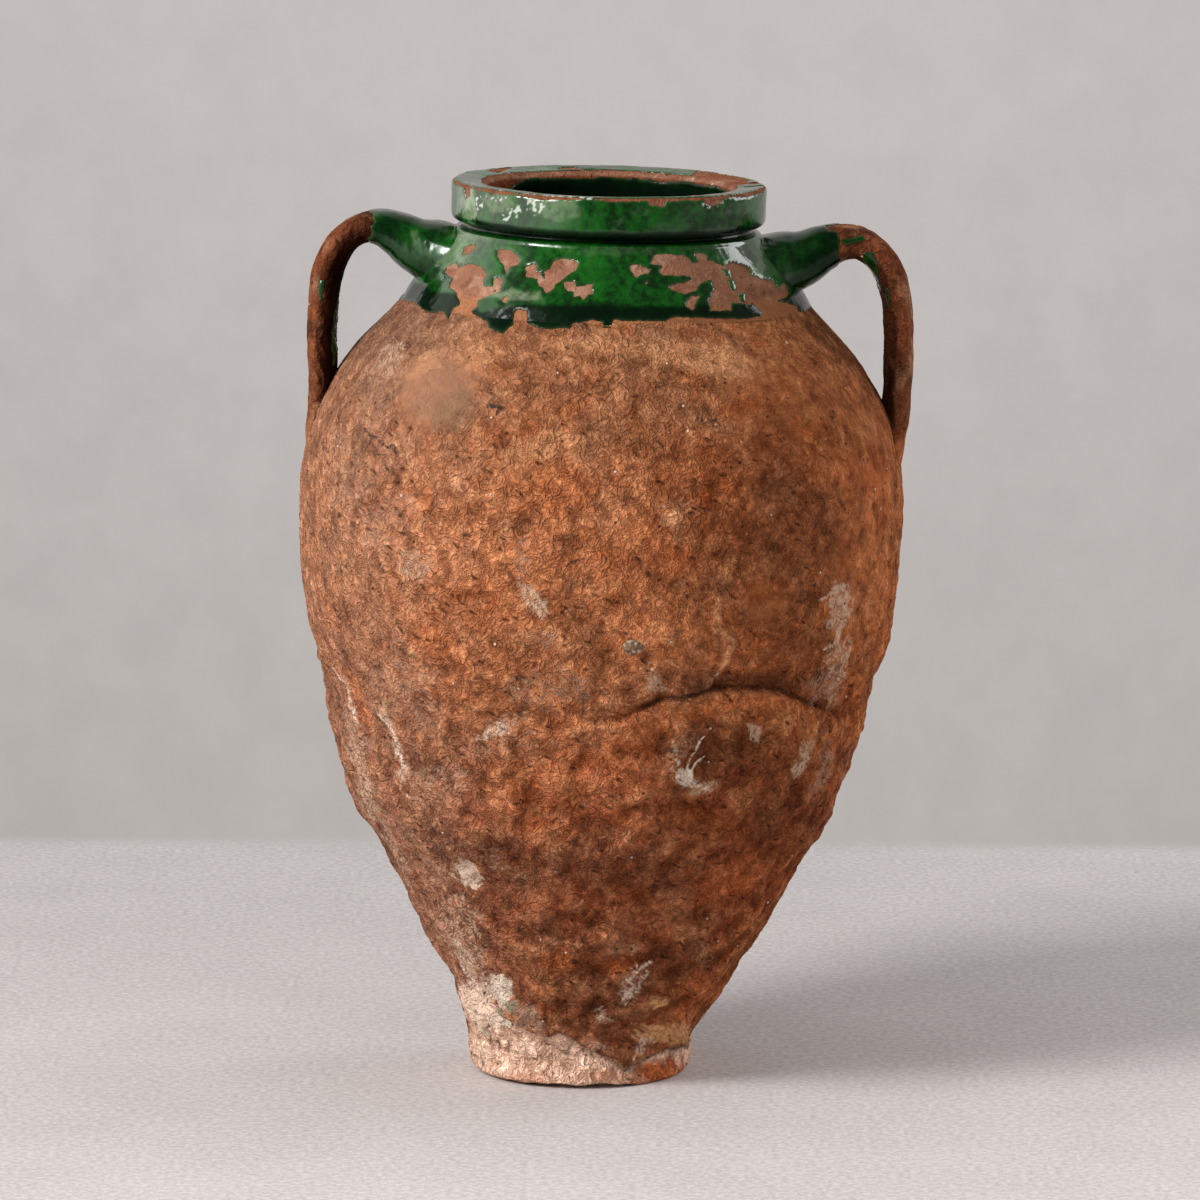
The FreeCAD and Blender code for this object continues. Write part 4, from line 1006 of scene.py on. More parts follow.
def cutSkin(points, normals, keep):
    # keeps the triangles where the field is positive and cuts those that cross zero along the crossing
    rows, columns = keep.shape
    quads = gridFaces(rows, columns, False)
    triangles = np.concatenate([quads[:, [0, 1, 2]], quads[:, [0, 2, 3]]])
    value = keep.ravel()
    count = (value[triangles] > 0).sum(axis=1)
    whole, one, two = (triangles[count == number] for number in (3, 1, 2))
    oneTurn = np.argmax(value[one] > 0, axis=1)
    twoTurn = np.argmin(value[two] > 0, axis=1)
    one = np.take_along_axis(one, (oneTurn[:, None] + np.arange(3)) % 3, axis=1)
    two = np.take_along_axis(two, (twoTurn[:, None] + np.arange(3)) % 3, axis=1)
    edges = np.concatenate([one[:, [0, 1]], one[:, [0, 2]], two[:, [0, 1]], two[:, [0, 2]]])
    unique, index = np.unique(np.sort(edges, axis=1), axis=0, return_inverse=True)
    index = index.ravel() + rows * columns
    first, second, third, fourth = np.split(index, np.cumsum([len(one), len(one), len(two)]))
    faces = np.concatenate([
        whole,
        np.stack([one[:, 0], first, second], -1),
        np.stack([third, two[:, 1], two[:, 2]], -1),
        np.stack([third, two[:, 2], fourth], -1),
    ])
    share = value[unique[:, 0]] / (value[unique[:, 0]] - value[unique[:, 1]])
    share = np.clip(share, 0.04, 0.96)[:, None]
    skins = []
    for grid in (points.reshape(-1, 3), normals.reshape(-1, 3)):
        skins.append(np.concatenate([grid, grid[unique[:, 0]] * (1 - share) + grid[unique[:, 1]] * share]))
    depth = np.concatenate([np.maximum(value, 0), np.zeros(len(unique))])
    used, faces = np.unique(faces, return_inverse=True)
    return skins[0][used], skins[1][used], depth[used], faces.reshape(-1, 3)


def makeSkin(name, points, normals, keep, looks, material, node):
    # outer face raised by the glaze's thickness, inner face just under the clay, and walls along the cut
    base, up, depth, faces = cutSkin(points, normals, keep)
    swell = softStep(0, glazeShape["taper"], depth)
    rise = glazeShape["edge"] + (glazeShape["thick"] - glazeShape["edge"]) * swell
    skin = np.concatenate([base + up * rise[:, None], base - up * glazeShape["sunk"]])
    count = len(base)
    sides = np.concatenate([faces[:, [0, 1]], faces[:, [1, 2]], faces[:, [2, 0]]])
    code = np.minimum(sides[:, 0], sides[:, 1]) * count + np.maximum(sides[:, 0], sides[:, 1])
    _, firstPlace, uses = np.unique(code, return_index=True, return_counts=True)
    rim = sides[firstPlace[uses == 1]]
    walls = np.stack([rim[:, 1], rim[:, 0], rim[:, 0] + count, rim[:, 1] + count], axis=-1)
    poolAndShade, flake = looks(base)
    floats = {"poolAndShade": np.tile(poolAndShade, 2), "flake": np.tile(flake, 2), "edge": np.tile(1 - swell, 2)}
    piece = makePiece(name, skin, [faces, faces[:, ::-1] + count, walls], (), None, floats)
    settle(piece, "glaze", material, node)


def deepest(across, down, outlines):
    # the deepest of the outlines at each pixel, positive inside any of them
    return np.max([patchDepth(across, down, corners) for corners in outlines], axis=0)


glazeHazeAndSheen = (                       # pale places, partly weathered bloom and partly painted reflection and sheen: x, y, half width, half height, turn, strength
    (470, 208, 9, 24, 0, 1.0), (500, 202, 18, 12, 0, 0.50), (556, 206, 26, 13, 0, 0.50),
    (728, 206, 30, 13, 0, 0.18),
    (452, 252, 22, 18, -30, 0.55), (476, 236, 26, 7, 0, 0.35), (774, 264, 20, 24, 30, 0.32),
    (500, 300, 40, 10, -4, 0.70),
    (415, 238, 8, 16, -30, 0.60), (800, 246, 22, 12, -20, 0.40), (610, 250, 60, 8, 0, 0.25),
)


def hazeAndSheenField(points):
    # the drawn pale places in front, partly painted reflection and sheen, and noise in their manner behind
    across, down = toPhoto(points)
    ragged = 0.5 * layers(points, 0.010, 181)
    spots = [strength * spotField(across, down, spot, ragged) for *spot, strength in glazeHazeAndSheen]
    field = np.max(spots, axis=0)
    field *= points[:, 1] < 0
    return np.maximum(field, 0.5 * softStep(0.2, 0.7, layers(points, 0.05, 182)) * (points[:, 1] > 0))


neckGlazeShape = {                  # heights on the jar's axis
    "collar": (0.5220, 0.5368), "lowEdge": 0.5365, "bead": (0.580, 0.5845), "pinholesBelow": 0.583,
    "lowPoolAndShade": (0.5520, 0.5475), "ledgePoolAndShade": (0.5862, 0.5885),
}


def collarSurface(columns):
    # the neck's outside carried on down over the top of the shoulder wall, with that wall's own relief
    levels = np.linspace(*neckGlazeShape["collar"], 16)
    lower = np.stack([wallRadius(levels), levels], axis=-1)
    upper = roundedLine(neckShape["outline"], 0.0011)
    points, _ = turnedSurface(np.concatenate([lower, upper]), columns)
    points[:len(levels)] = wallGrid(levels, columns)["points"]
    return points, gridNormals(points)


def makeNeckGlaze(material):
    # drawn flakes in front, seeded clusters of them behind, pinholes, and a whole bead under the rim
    points, normals = collarSurface(690)
    across, down, front = inPhoto(points, normals)
    height = jarPlace(points)[1]
    bare = deepest(across, down, neckFlakes.values())
    left = deepest(across, down, neckIslands.values())
    drawn = np.minimum(patchDepth(across, down, neckCoat), np.maximum(-bare, left))
    cluster = softStep(-0.1, 0.35, noise(points, 0.11, 121))
    loose = (layers(points, 0.026, 122, 3) - 0.30) * 22 * cluster - 3 * (1 - cluster)
    lowEdge = height - neckGlazeShape["lowEdge"] - 0.0036 * layers(points, 0.012, 123)
    lowEdge = lowEdge * photoCamera["pixelsPerMetre"]
    keep = drawn * front + np.minimum(lowEdge, -loose) * (1 - front)
    bead = softStep(*neckGlazeShape["bead"], height)
    keep = keep * (1 - bead) + np.maximum(keep, 3.0) * bead
    keep = keep + 1.0 * noise(points, 0.0042, 124) + 0.7 * noise(points, 0.0021, 125)
    pinholes = softStep(0.62, 0.75, noise(points, 0.0038, 126)) * softStep(0.2, 0.5, noise(points, 0.03, 127))
    keep = keep - 9 * pinholes * (height < neckGlazeShape["pinholesBelow"])

    def looks(base):
        rise = jarPlace(base)[1]
        # the band at the neck's base and the groove under the rim: pooled glaze with painted shade
        band = softStep(*neckGlazeShape["lowPoolAndShade"], rise + 0.0016 * noise(base, 0.02, 128))
        poolAndShade = np.maximum(band, softStep(*neckGlazeShape["ledgePoolAndShade"], rise))
        return poolAndShade - hazeAndSheenField(base), 0 * rise

    makeSkin("neckGlaze", points, normals, keep, looks, material, "neck_glaze")


rimGlazeShape = {                   # radius and height of the worn corner and of where the top starts
    "corner": (0.1066, 0.6193), "top": (0.1056, 0.6182), "lip": 0.0880, "poolAndShade": (0.5995, 0.5960),
}
rimWear = {
    "chip": ((647, 198), (664, 197), (666, 201), (664, 207), (649, 206)),
    "rightTop": ((688, 178), (700, 169), (722, 170), (742, 174), (752, 180), (742, 186), (720, 186),
                 (704, 184)),
    "leftTop": ((486, 172), (500, 166), (512, 168), (498, 174)),
    "leftEdge": ((464, 186), (470, 184), (471, 196), (467, 199)),
    "crust": ((706, 198), (720, 196), (722, 202), (712, 207), (703, 203)),
}
rimSilver = (                       # x, y, half width, half height, turn
    (512, 214, 15, 8, -30), (536, 206, 11, 11, 0), (480, 203, 5, 9, 0), (712, 204, 14, 5, -10),
    (497, 198, 16, 4, 0), (560, 199, 40, 3, 0),
)


def makeRimGlaze(material):
    # worn off along the outer corner and the lip, chipped where drawn, bare in places on top
    points, normals = turnedSurface(roundedLine(rimShape["outline"][:5], 0.0010), 620)
    across, down, front = inPhoto(points, normals)
    radius, height = jarPlace(points)
    scale = photoCamera["pixelsPerMetre"]
    cornerRadius, cornerHeight = rimGlazeShape["corner"]
    corner = np.hypot(radius - cornerRadius, height - cornerHeight) * scale
    worn = corner - 2.0 - 1.6 * layers(points, 0.018, 131) - 1.0 * noise(points, 0.005, 132)
    chips = -deepest(across, down, rimWear.values()) * front + 6 * (1 - front)
    bareTop = (0.60 - layers(points, 0.034, 133, 3)) * 20
    lip = (radius - rimGlazeShape["lip"] - 0.0014 * layers(points, 0.014, 134)) * scale
    keep = np.minimum(np.minimum(worn, chips), lip)
    topRadius, topHeight = rimGlazeShape["top"]
    keep = np.where((height > topHeight) & (radius < topRadius), np.minimum(keep, bareTop), keep)
    keep = keep + 0.7 * noise(points, 0.004, 135)

    def looks(base):
        rise = jarPlace(base)[1]
        acrossBase, downBase = toPhoto(base)
        silver = np.max([spotField(acrossBase, downBase, spot, 0) for spot in rimSilver], axis=0)
        silver *= (base[:, 1] < 0) * softStep(-0.3, 0.5, layers(base, 0.0032, 137, 2))
        # pooled glaze with painted shade along the band's lower edge
        poolAndShade = softStep(*rimGlazeShape["poolAndShade"], rise + 0.001 * noise(base, 0.015, 136))
        return poolAndShade - hazeAndSheenField(base), silver

    makeSkin("rimGlaze", points, normals, keep, looks, material, "rim_glaze")


mouthGlazeShape = {
    "line": ((0.0826, 0.6160, 0), (0.0826, 0.5912, 0.001), (0.1190, 0.5443, 0)),
    "top": 0.6140, "low": 0.5475, "poolAndShade": (0.632, 0.606),
    "bareLeft": (-0.030, -0.060), "bareDrop": 0.0080,
}


def makeMouthGlaze(material):
    # a ragged band inside, lower at the left where the clay shows
    shape = mouthGlazeShape
    points, normals = turnedSurface(roundedLine(shape["line"], 0.0014), 380)
    height = jarPlace(points)[1]
    scale = photoCamera["pixelsPerMetre"]
    ragged = 0.0016 * layers(points, 0.02, 141) + 0.0010 * noise(points, 0.005, 142)
    bareLeft = softStep(*shape["bareLeft"], points[..., 0]) * shape["bareDrop"]
    top = (shape["top"] + ragged - bareLeft - height) * scale
    low = (height - shape["low"] - 0.004 * layers(points, 0.03, 143)) * scale

    def looks(base):
        rise = jarPlace(base)[1]
        # pooled glaze with painted shade inside the mouth
        return softStep(*shape["poolAndShade"], rise) * 1.06, 0 * rise

    makeSkin("mouthGlaze", points, normals, np.minimum(top, low), looks, material, "mouth_glaze")


handleGlaze = {                     # pixel where an arm's coat ends, patches left past it, bare places on it
    "left": {"end": 371, "patches": (((317, 292), (320, 281), (324, 280), (323, 300), (319, 303)),
                                     ((336, 300), (341, 298), (340, 345), (334, 365), (331, 345))),
             "bare": (((352, 214), (371, 213), (372, 222), (366, 224), (352, 228)),)},
    "right": {"end": 838, "patches": (((861, 252), (873, 252), (878, 270), (881, 292), (878, 292)),
                                      ((885, 288), (890, 287), (889, 312), (887, 300)),
                                      ((842, 240), (862, 236), (866, 240), (846, 246))),
              "bare": (((826, 226), (838, 224), (840, 232), (828, 231)),)},
}


def makeHandleGlaze(side, surface, material):
    # the arm's coat as far as its ragged end, without its bare places, and the patches past it
    points, normals, share = surface
    shape = handleGlaze[side]
    across, down, front = inPhoto(points, normals)
    ragged = 4 * layers(points, 0.014, 151) + 1.5 * noise(points, 0.004, 152)
    arm = handleShapes[side]["direction"] * (shape["end"] - across) + ragged
    arm = np.where(share < 0.6, arm, -20)
    bare = -deepest(across, down, shape["bare"]) * front + 9 * (1 - front)
    patches = deepest(across, down, shape["patches"]) * front - 20 * (1 - front)
    keep = np.maximum(np.minimum(arm, bare), patches + 0.5 * ragged)
    radius, height = jarPlace(points)
    keep = np.minimum(keep, (radius - outerRadius(height) + 0.005) * photoCamera["pixelsPerMetre"])

    def looks(base):
        cloud = softStep(-0.6, 0.6, noise(base, 0.03, 153))
        return 0.35 + 0.5 * cloud - 1.2 * hazeAndSheenField(base), 0 * base[:, 0]

    makeSkin(side + "HandleGlaze", points, normals, keep, looks, material, side + "_handle_glaze")


# Stone that fired into the belly's wall

stoneShape = {
    "rings": 48, "columns": 96, "bump": 0.0012, "forward": 0.0022, "squash": (1.15, 1.0, 0.85),
    "noiseSize": 0.01,              # radius of the ball that its noise is read on
}
stonePaint = tint(122, 96, 74)
stoneMottles = ((tint(190, 170, 148), 0.004, 162, 0.7),)


def makeStone(material):
    low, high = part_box("wall_pebble")
    centre = np.array((low + high) / 2) - (0, stoneShape["forward"], 0)
    radius = (high - low)[1] / 2
    tilt = np.linspace(0, np.pi, stoneShape["rings"] + 2)[1:-1, None]
    angle = turns(stoneShape["columns"])[None, :]
    ball = np.stack([np.sin(tilt) * np.cos(angle), np.sin(tilt) * np.sin(angle),
                     -np.cos(tilt) + 0 * angle], axis=-1)
    small = ball * stoneShape["noiseSize"]
    bumps = stoneShape["bump"] * layers(small, 0.007, 161)[..., None]
    points = centre + ball * np.array(stoneShape["squash"]) * (radius + bumps)
    colours = mottled(small, stonePaint, 0.5, stoneMottles)
    piece = makeClosed("wallStone", points, colours, np.full(points.shape[:2], 0.4), None, False)
    settle(piece, "grit", material, "wall_pebble")


# Materials

def newMaterial(name):
    material = bpy.data.materials.new(name)
    material.use_nodes = True
    material.node_tree.nodes.clear()
    return material, material.node_tree


def addNode(tree, kind, settings=(), inputs=()):
    # a node with its settings; an input is a plain value or another node's output socket
    node = tree.nodes.new(kind)
    for label, value in dict(settings).items():
        setattr(node, label, value)
    for label, value in dict(inputs).items():
        if isinstance(value, bpy.types.NodeSocket):
            tree.links.new(value, node.inputs[label])
        else:
            node.inputs[label].default_value = value
    return node


def mathNode(tree, operation, first, second=0.5, third=0.0):
    inputs = {0: first, 1: second, 2: third}
    return addNode(tree, "ShaderNodeMath", {"operation": operation}, inputs).outputs[0]


def times(tree, *values):
    # the product of all the values
    product = values[0]
    for value in values[1:]:
        product = mathNode(tree, "MULTIPLY", product, value)
    return product


def addScaled(tree, value, gain, rest):
    # value times gain, plus the rest
    return mathNode(tree, "MULTIPLY_ADD", value, gain, rest)


def vectorNode(tree, operation, inputs):
    return addNode(tree, "ShaderNodeVectorMath", {"operation": operation}, inputs).outputs[0]


def spread(tree, value, low, high, start=0.0, end=1.0):
    # maps low..high to start..end with a smooth step
    node = addNode(tree, "ShaderNodeMapRange", {"interpolation_type": "SMOOTHSTEP"},
                   {"Value": value, "From Min": low, "From Max": high, "To Min": start, "To Max": end})
    return node.outputs["Result"]


def mixColour(tree, share, first, second, blend="MIX"):
    node = tree.nodes.new("ShaderNodeMix")
    node.data_type = "RGBA"
    node.blend_type = blend
    for socket, value in ((node.inputs[0], share), (node.inputs[6], first), (node.inputs[7], second)):
        if isinstance(value, bpy.types.NodeSocket):
            tree.links.new(value, socket)
        else:
            socket.default_value = value
    return node.outputs[2]


def joinColour(tree, red, green, blue):
    inputs = {"Red": red, "Green": green, "Blue": blue}
    return addNode(tree, "ShaderNodeCombineColor", {}, inputs).outputs["Color"]


def attributeOf(tree, label):
    return addNode(tree, "ShaderNodeAttribute", {"attribute_name": label}).outputs


def objectPlace(tree):
    return addNode(tree, "ShaderNodeTexCoord").outputs["Object"]


def noiseNode(tree, where, scale, detail=2.0, rough=0.5, swirl=0.0):
    inputs = {"Vector": where, "Scale": scale, "Detail": detail, "Roughness": rough, "Distortion": swirl}
    return addNode(tree, "ShaderNodeTexNoise", {}, inputs).outputs


def cellNode(tree, where, scale, settings=()):
    # distance to the middle of the nearest cell, and three random shares for each cell
    inputs = {"Vector": where, "Scale": scale, "Randomness": 1.0}
    cells = addNode(tree, "ShaderNodeTexVoronoi", settings, inputs)
    chance = addNode(tree, "ShaderNodeSeparateColor", {}, {"Color": cells.outputs["Color"]}).outputs
    return cells.outputs["Distance"], chance


def bumpNode(tree, strength, distance, height):
    inputs = {"Strength": strength, "Distance": distance, "Height": height}
    return addNode(tree, "ShaderNodeBump", {}, inputs).outputs["Normal"]


def colourOf(values):
    return (*[float(value) for value in values], 1.0)


def finishMaterial(tree, inputs):
    shader = addNode(tree, "ShaderNodeBsdfPrincipled", {}, inputs)
    output = addNode(tree, "ShaderNodeOutputMaterial")
    tree.links.new(shader.outputs[0], output.inputs["Surface"])


clayLook = {
    "strokes": (                    # turn, width and length of each set
        (0.35, 0.0030, 0.0095), (-0.55, 0.0027, 0.0080), (1.15, 0.0028, 0.0075),
    ),
    "bend": 0.0100, "bendScale": 75, "lumpScale": 130.0, "crumbScale": 290.0, "coarseScale": 85,
    "fineScale": 620, "gritScale": 110.0,
    "tones": (                      # field, the range it is read over, shade at either end; the first two darken the creases as painted shade, the third lightens the crests as painted highlight
        ("lumps", 0.0, 0.13, 0.58, 1.0), ("crumbs", 0.0, 0.11, 0.60, 1.0), ("lumps", 0.24, 0.54, 1.0, 1.36),
        ("coarse", 0.25, 0.75, 0.74, 1.46), ("cells", 0.0, 1.0, 0.86, 1.14),
    ),
    "redPower": 0.85, "bluePower": 1.10,
    "crease": 0.36,                 # distance from a crease at which a lump has its full height
    "rises": {"crumbs": 0.42, "coarse": 1.2, "fine": 0.14, "pits": -0.6, "specks": 0.4},
    "bumpDepth": 0.0014, "roughness": 0.95, "gloss": 0.06,
    # the first colour here is painted into pits and dark dots as shade; the pale speck colour is partly grit,
    # partly painted glint
    "dark": tint(50, 26, 16), "speck": tint(236, 216, 194),
}


def strokeCells(tree, where, turn, wide, long):
    # long narrow cells turned by an angle: each one a rounded grain of its own height and shade
    turned = addNode(tree, "ShaderNodeMapping", {"vector_type": "TEXTURE"},
                     {"Vector": where, "Rotation": (0, 0, turn),
                      "Scale": (wide, long, 1.0)}).outputs["Vector"]
    distance, chance = cellNode(tree, turned, 1.0, {"voronoi_dimensions": "2D", "feature": "F1"})
    mound = spread(tree, distance, 0.62, 0.10)
    return times(tree, mound, spread(tree, chance["Red"], 0.0, 1.0, 0.25, 1.0)), mound, chance


def clayStrokes(tree, where, look):
    # the sets of stroke cells on the piece's own wrap, which noise bends
    flat = addNode(tree, "ShaderNodeUVMap", {"uv_map": "wrap"}).outputs["UV"]
    push = vectorNode(tree, "SUBTRACT", {0: noiseNode(tree, where, look["bendScale"], 1.0)["Color"],
                                         1: (0.5, 0.5, 0.5)})
    push = vectorNode(tree, "SCALE", {0: push, "Scale": look["bend"]})
    bent = vectorNode(tree, "ADD", {0: flat, 1: push})
    return [strokeCells(tree, bent, *stroke) for stroke in look["strokes"]]


def creasedNoise(tree, where, scale, swirl):
    # swirling noise folded at its middle, so that it falls to 0 along winding creases
    value = noiseNode(tree, where, scale, swirl=swirl)["Fac"]
    return mathNode(tree, "ABSOLUTE", addScaled(tree, value, 2.0, -1.0))


def coatCover(tree, thick, strokes, coarse):
    # where a coat lies: on the crests of the strokes first, and everywhere once it is thick
    patchy = addScaled(tree, strokes, 0.55, addScaled(tree, coarse, 0.5, -0.50))
    cover = spread(tree, mathNode(tree, "ADD", thick, patchy), 0.20, 0.95)
    return times(tree, cover, spread(tree, thick, 0.02, 0.55, 0.0, 0.9))


def clayGrit(tree, where, scale):
    # small round pale specks, partly grit and partly painted glints, and dark dots of painted shade in pits,
    # in the few cells that chance picks
    distance, chance = cellNode(tree, where, scale)
    speck = times(tree, spread(tree, distance, 0.13, 0.08),
                  spread(tree, chance["Green"], 0.90, 0.91, 0.0, 0.75))
    dot = times(tree, spread(tree, distance, 0.15, 0.09), spread(tree, chance["Red"], 0.72, 0.73, 0.0, 0.75))
    return speck, dot


def makeClayMaterial(name, look):
    # paint times the tones of lumps, crumbs and cells, with painted shade in the creases and painted
    # highlight on the crests, then coats, pits in painted shade and grit; lumps and grit also in bump
    material, tree = newMaterial(name)
    where = objectPlace(tree)
    coat = attributeOf(tree, "coat")
    grain = attributeOf(tree, "grain")["Fac"]
    first, second, third = clayStrokes(tree, where, look)
    strokes = mathNode(tree, "MAXIMUM", first[0], mathNode(tree, "MAXIMUM", second[0], third[0]))
    fields = {
        "lumps": creasedNoise(tree, where, look["lumpScale"], 1.1),
        "crumbs": creasedNoise(tree, where, look["crumbScale"], 1.2),
        "coarse": noiseNode(tree, where, look["coarseScale"], 3.0, 0.55)["Fac"],
        "fine": noiseNode(tree, where, look["fineScale"], 3.0, 0.6)["Fac"],
        "cells": first[2]["Green"],
    }
    tone = times(tree, *[spread(tree, fields[label], *limits) for label, *limits in look["tones"]])
    tone = addScaled(tree, mathNode(tree, "SUBTRACT", tone, 1.0), grain, 1.0)
    bands = joinColour(tree, mathNode(tree, "POWER", tone, look["redPower"]), tone,
                       mathNode(tree, "POWER", tone, look["bluePower"]))
    colour = mixColour(tree, 1.0, attributeOf(tree, "paint")["Color"], bands, "MULTIPLY")
    cover = coatCover(tree, coat["Alpha"], strokes, fields["coarse"])
    colour = mixColour(tree, cover, colour, coat["Color"])
    # pits and dark dots painted with shade; the pale specks are partly grit, partly painted glints
    pit = times(tree, third[1], spread(tree, third[2]["Blue"], 0.05, 0.03, 0.0, 0.7), grain)
    speck, dot = clayGrit(tree, where, look["gritScale"])
    for share, label in ((pit, "dark"), (dot, "dark"), (speck, "speck")):
        colour = mixColour(tree, share, colour, colourOf(look[label]))
    raised = {"crumbs": spread(tree, fields["crumbs"], 0.0, look["crease"]), "coarse": fields["coarse"],
              "fine": fields["fine"], "pits": mathNode(tree, "ADD", pit, dot), "specks": speck}
    height = spread(tree, fields["lumps"], 0.0, look["crease"])
    for label, rise in look["rises"].items():
        height = addScaled(tree, raised[label], rise, height)
    normal = bumpNode(tree, 1.0, look["bumpDepth"], times(tree, height, grain))
    finishMaterial(tree, {"Base Color": colour, "Roughness": look["roughness"],
                          "Specular IOR Level": look["gloss"], "Normal": normal})
    return material


glazeLook = {
    "deep": tint(5, 38, 8), "leaf": tint(14, 84, 14), "light": tint(58, 124, 40), "poolAndShade": tint(6, 16, 9),
    "edge": tint(64, 84, 52), "hazeAndSheen": tint(140, 158, 122), "silver": tint(232, 236, 226),
    "streak": 0.45, "cloudScale": 42, "fleckScale": 230, "swellScale": 75,
    "roughness": (0.09, 0.25), "bump": (0.4, 0.0010), "ior": 1.55,
}


def makeGlazeMaterial(name, look):
    # copper green that runs from deep to leaf in soft clouds and streaks, near black where it pooled and
    # where shade is painted in
    material, tree = newMaterial(name)
    where = objectPlace(tree)
    streak = addNode(tree, "ShaderNodeMapping", {},
                     {"Vector": where, "Scale": (1.0, 1.0, look["streak"])}).outputs["Vector"]
    clouds = noiseNode(tree, streak, look["cloudScale"], 5.0, 0.62)["Fac"]
    flecks = noiseNode(tree, where, look["fleckScale"], 3.0, 0.6)["Fac"]
    swell = noiseNode(tree, where, look["swellScale"])["Fac"]
    poolAndShade, flake, edge = (attributeOf(tree, label)["Fac"] for label in ("poolAndShade", "flake", "edge"))
    mixed = addScaled(tree, flecks, 0.45, times(tree, clouds, 0.75))
    shares = {                      # each colour laid over those before it
        "leaf": spread(tree, mixed, 0.46, 0.74),
        "light": spread(tree, mixed, 0.70, 0.92, 0.0, 0.5),
        "poolAndShade": times(tree, poolAndShade, 0.92),
        "hazeAndSheen": times(tree, spread(tree, poolAndShade, -0.02, -0.95, 0.0, 0.62),
                      spread(tree, flecks, 0.25, 0.60, 0.45, 1.0)),
        "edge": times(tree, edge, 0.25),
        "silver": spread(tree, flake, 0.30, 0.80, 0.0, 0.55),
    }
    colour = colourOf(look["deep"])
    for label, share in shares.items():
        colour = mixColour(tree, share, colour, colourOf(look[label]))
    normal = bumpNode(tree, *look["bump"], addScaled(tree, flecks, 0.18, swell))
    finishMaterial(tree, {"Base Color": colour, "IOR": look["ior"], "Normal": normal,
                          "Roughness": spread(tree, clouds, 0.35, 0.75, *look["roughness"]),
                          "Specular IOR Level": spread(tree, poolAndShade, 0.0, 1.0, 0.5, 0.10)})
    return material


# Ground, light and background

stageLook = {
    "ground": tint(208, 201, 199), "wallHigh": tint(197, 191, 189), "wallLow": tint(184, 178, 175),
    "farEdge": 0.855, "farSlope": 0.0357, "farSoft": 0.06, "half": 3.0, "sky": 0.52,
    "farPaintedShade": (-0.7, 0.6, 1.0, 0.80), "rightPaintedLight": (0.05, 0.70, 1.0, 1.08),  # from, to, shade at either end: painted shade towards the back, painted light lifting the shadow on the right
    "wallRise": (-0.19, -0.06), "wallMottle": (0.3, 0.7, 0.975, 1.025), "wallSides": (0.01, 0.09, 1.0, 0.955),
    "windowAcross": (-0.25, -0.75), "windowUp": (0.92, 0.60), "windowLight": 3.0, "frontDark": 0.16,
    "behindLight": (0.1, 0.6, 0.0, 0.9), "rightLight": (0.45, 0.90, 0.0, 0.55),
}
lampLooks = {                       # place, size across and up, power
    "keyLamp": ((-3.0, -2.0, 2.7), (1.5, 1.7), 188),
    "sideLamp": ((2.7, 1.3, 1.5), (1.2, 2.0), 34),
}


def makeGround():
    half, far, slope = stageLook["half"], stageLook["farEdge"], stageLook["farSlope"]
    corners = [(-half, -half, 0), (half, -half, 0), (half, far - slope * half, 0),
               (-half, far + slope * half, 0)]
    mesh = bpy.data.meshes.new("ground")
    mesh.from_pydata(corners, [], [(0, 1, 2, 3)])
    ground = bpy.data.objects.new("ground", mesh)
    bpy.context.scene.collection.objects.link(ground)
    material, tree = newMaterial("groundStone")
    where = objectPlace(tree)
    grains = noiseNode(tree, where, 210, 5.0, 0.75)["Fac"]
    clouds = noiseNode(tree, where, 9, 4.0)["Fac"]
    mixed = addScaled(tree, clouds, 0.12, times(tree, grains, 0.88))
    colour = mixColour(tree, spread(tree, mixed, 0.36, 0.64), colourOf(stageLook["ground"] * 0.82),
                       colourOf(np.minimum(stageLook["ground"] * 1.16, 0.9)))
    aside, away, _ = addNode(tree, "ShaderNodeSeparateXYZ", {}, {0: where}).outputs
    # painted shade darkening the floor towards the back and painted light lifting it on the right, where the
    # jar's shadow falls
    paintedFloorLight = times(tree, spread(tree, away, *stageLook["farPaintedShade"]), spread(tree, aside, *stageLook["rightPaintedLight"]))
    colour = mixColour(tree, 1.0, colour, joinColour(tree, paintedFloorLight, paintedFloorLight, paintedFloorLight), "MULTIPLY")
    beyond = addScaled(tree, aside, slope, away)
    finishMaterial(tree, {"Base Color": colour, "Roughness": 0.8, "Specular IOR Level": 0.2,
                          "Alpha": spread(tree, beyond, far, far - stageLook["farSoft"])})
    ground.data.materials.append(material)


def backdrop(tree, colour, strength):
    return addNode(tree, "ShaderNodeBackground", {}, {"Color": colour, "Strength": strength}).outputs[0]


def mixLight(tree, share, first, second):
    return addNode(tree, "ShaderNodeMixShader", {}, {0: share, 1: first, 2: second}).outputs[0]


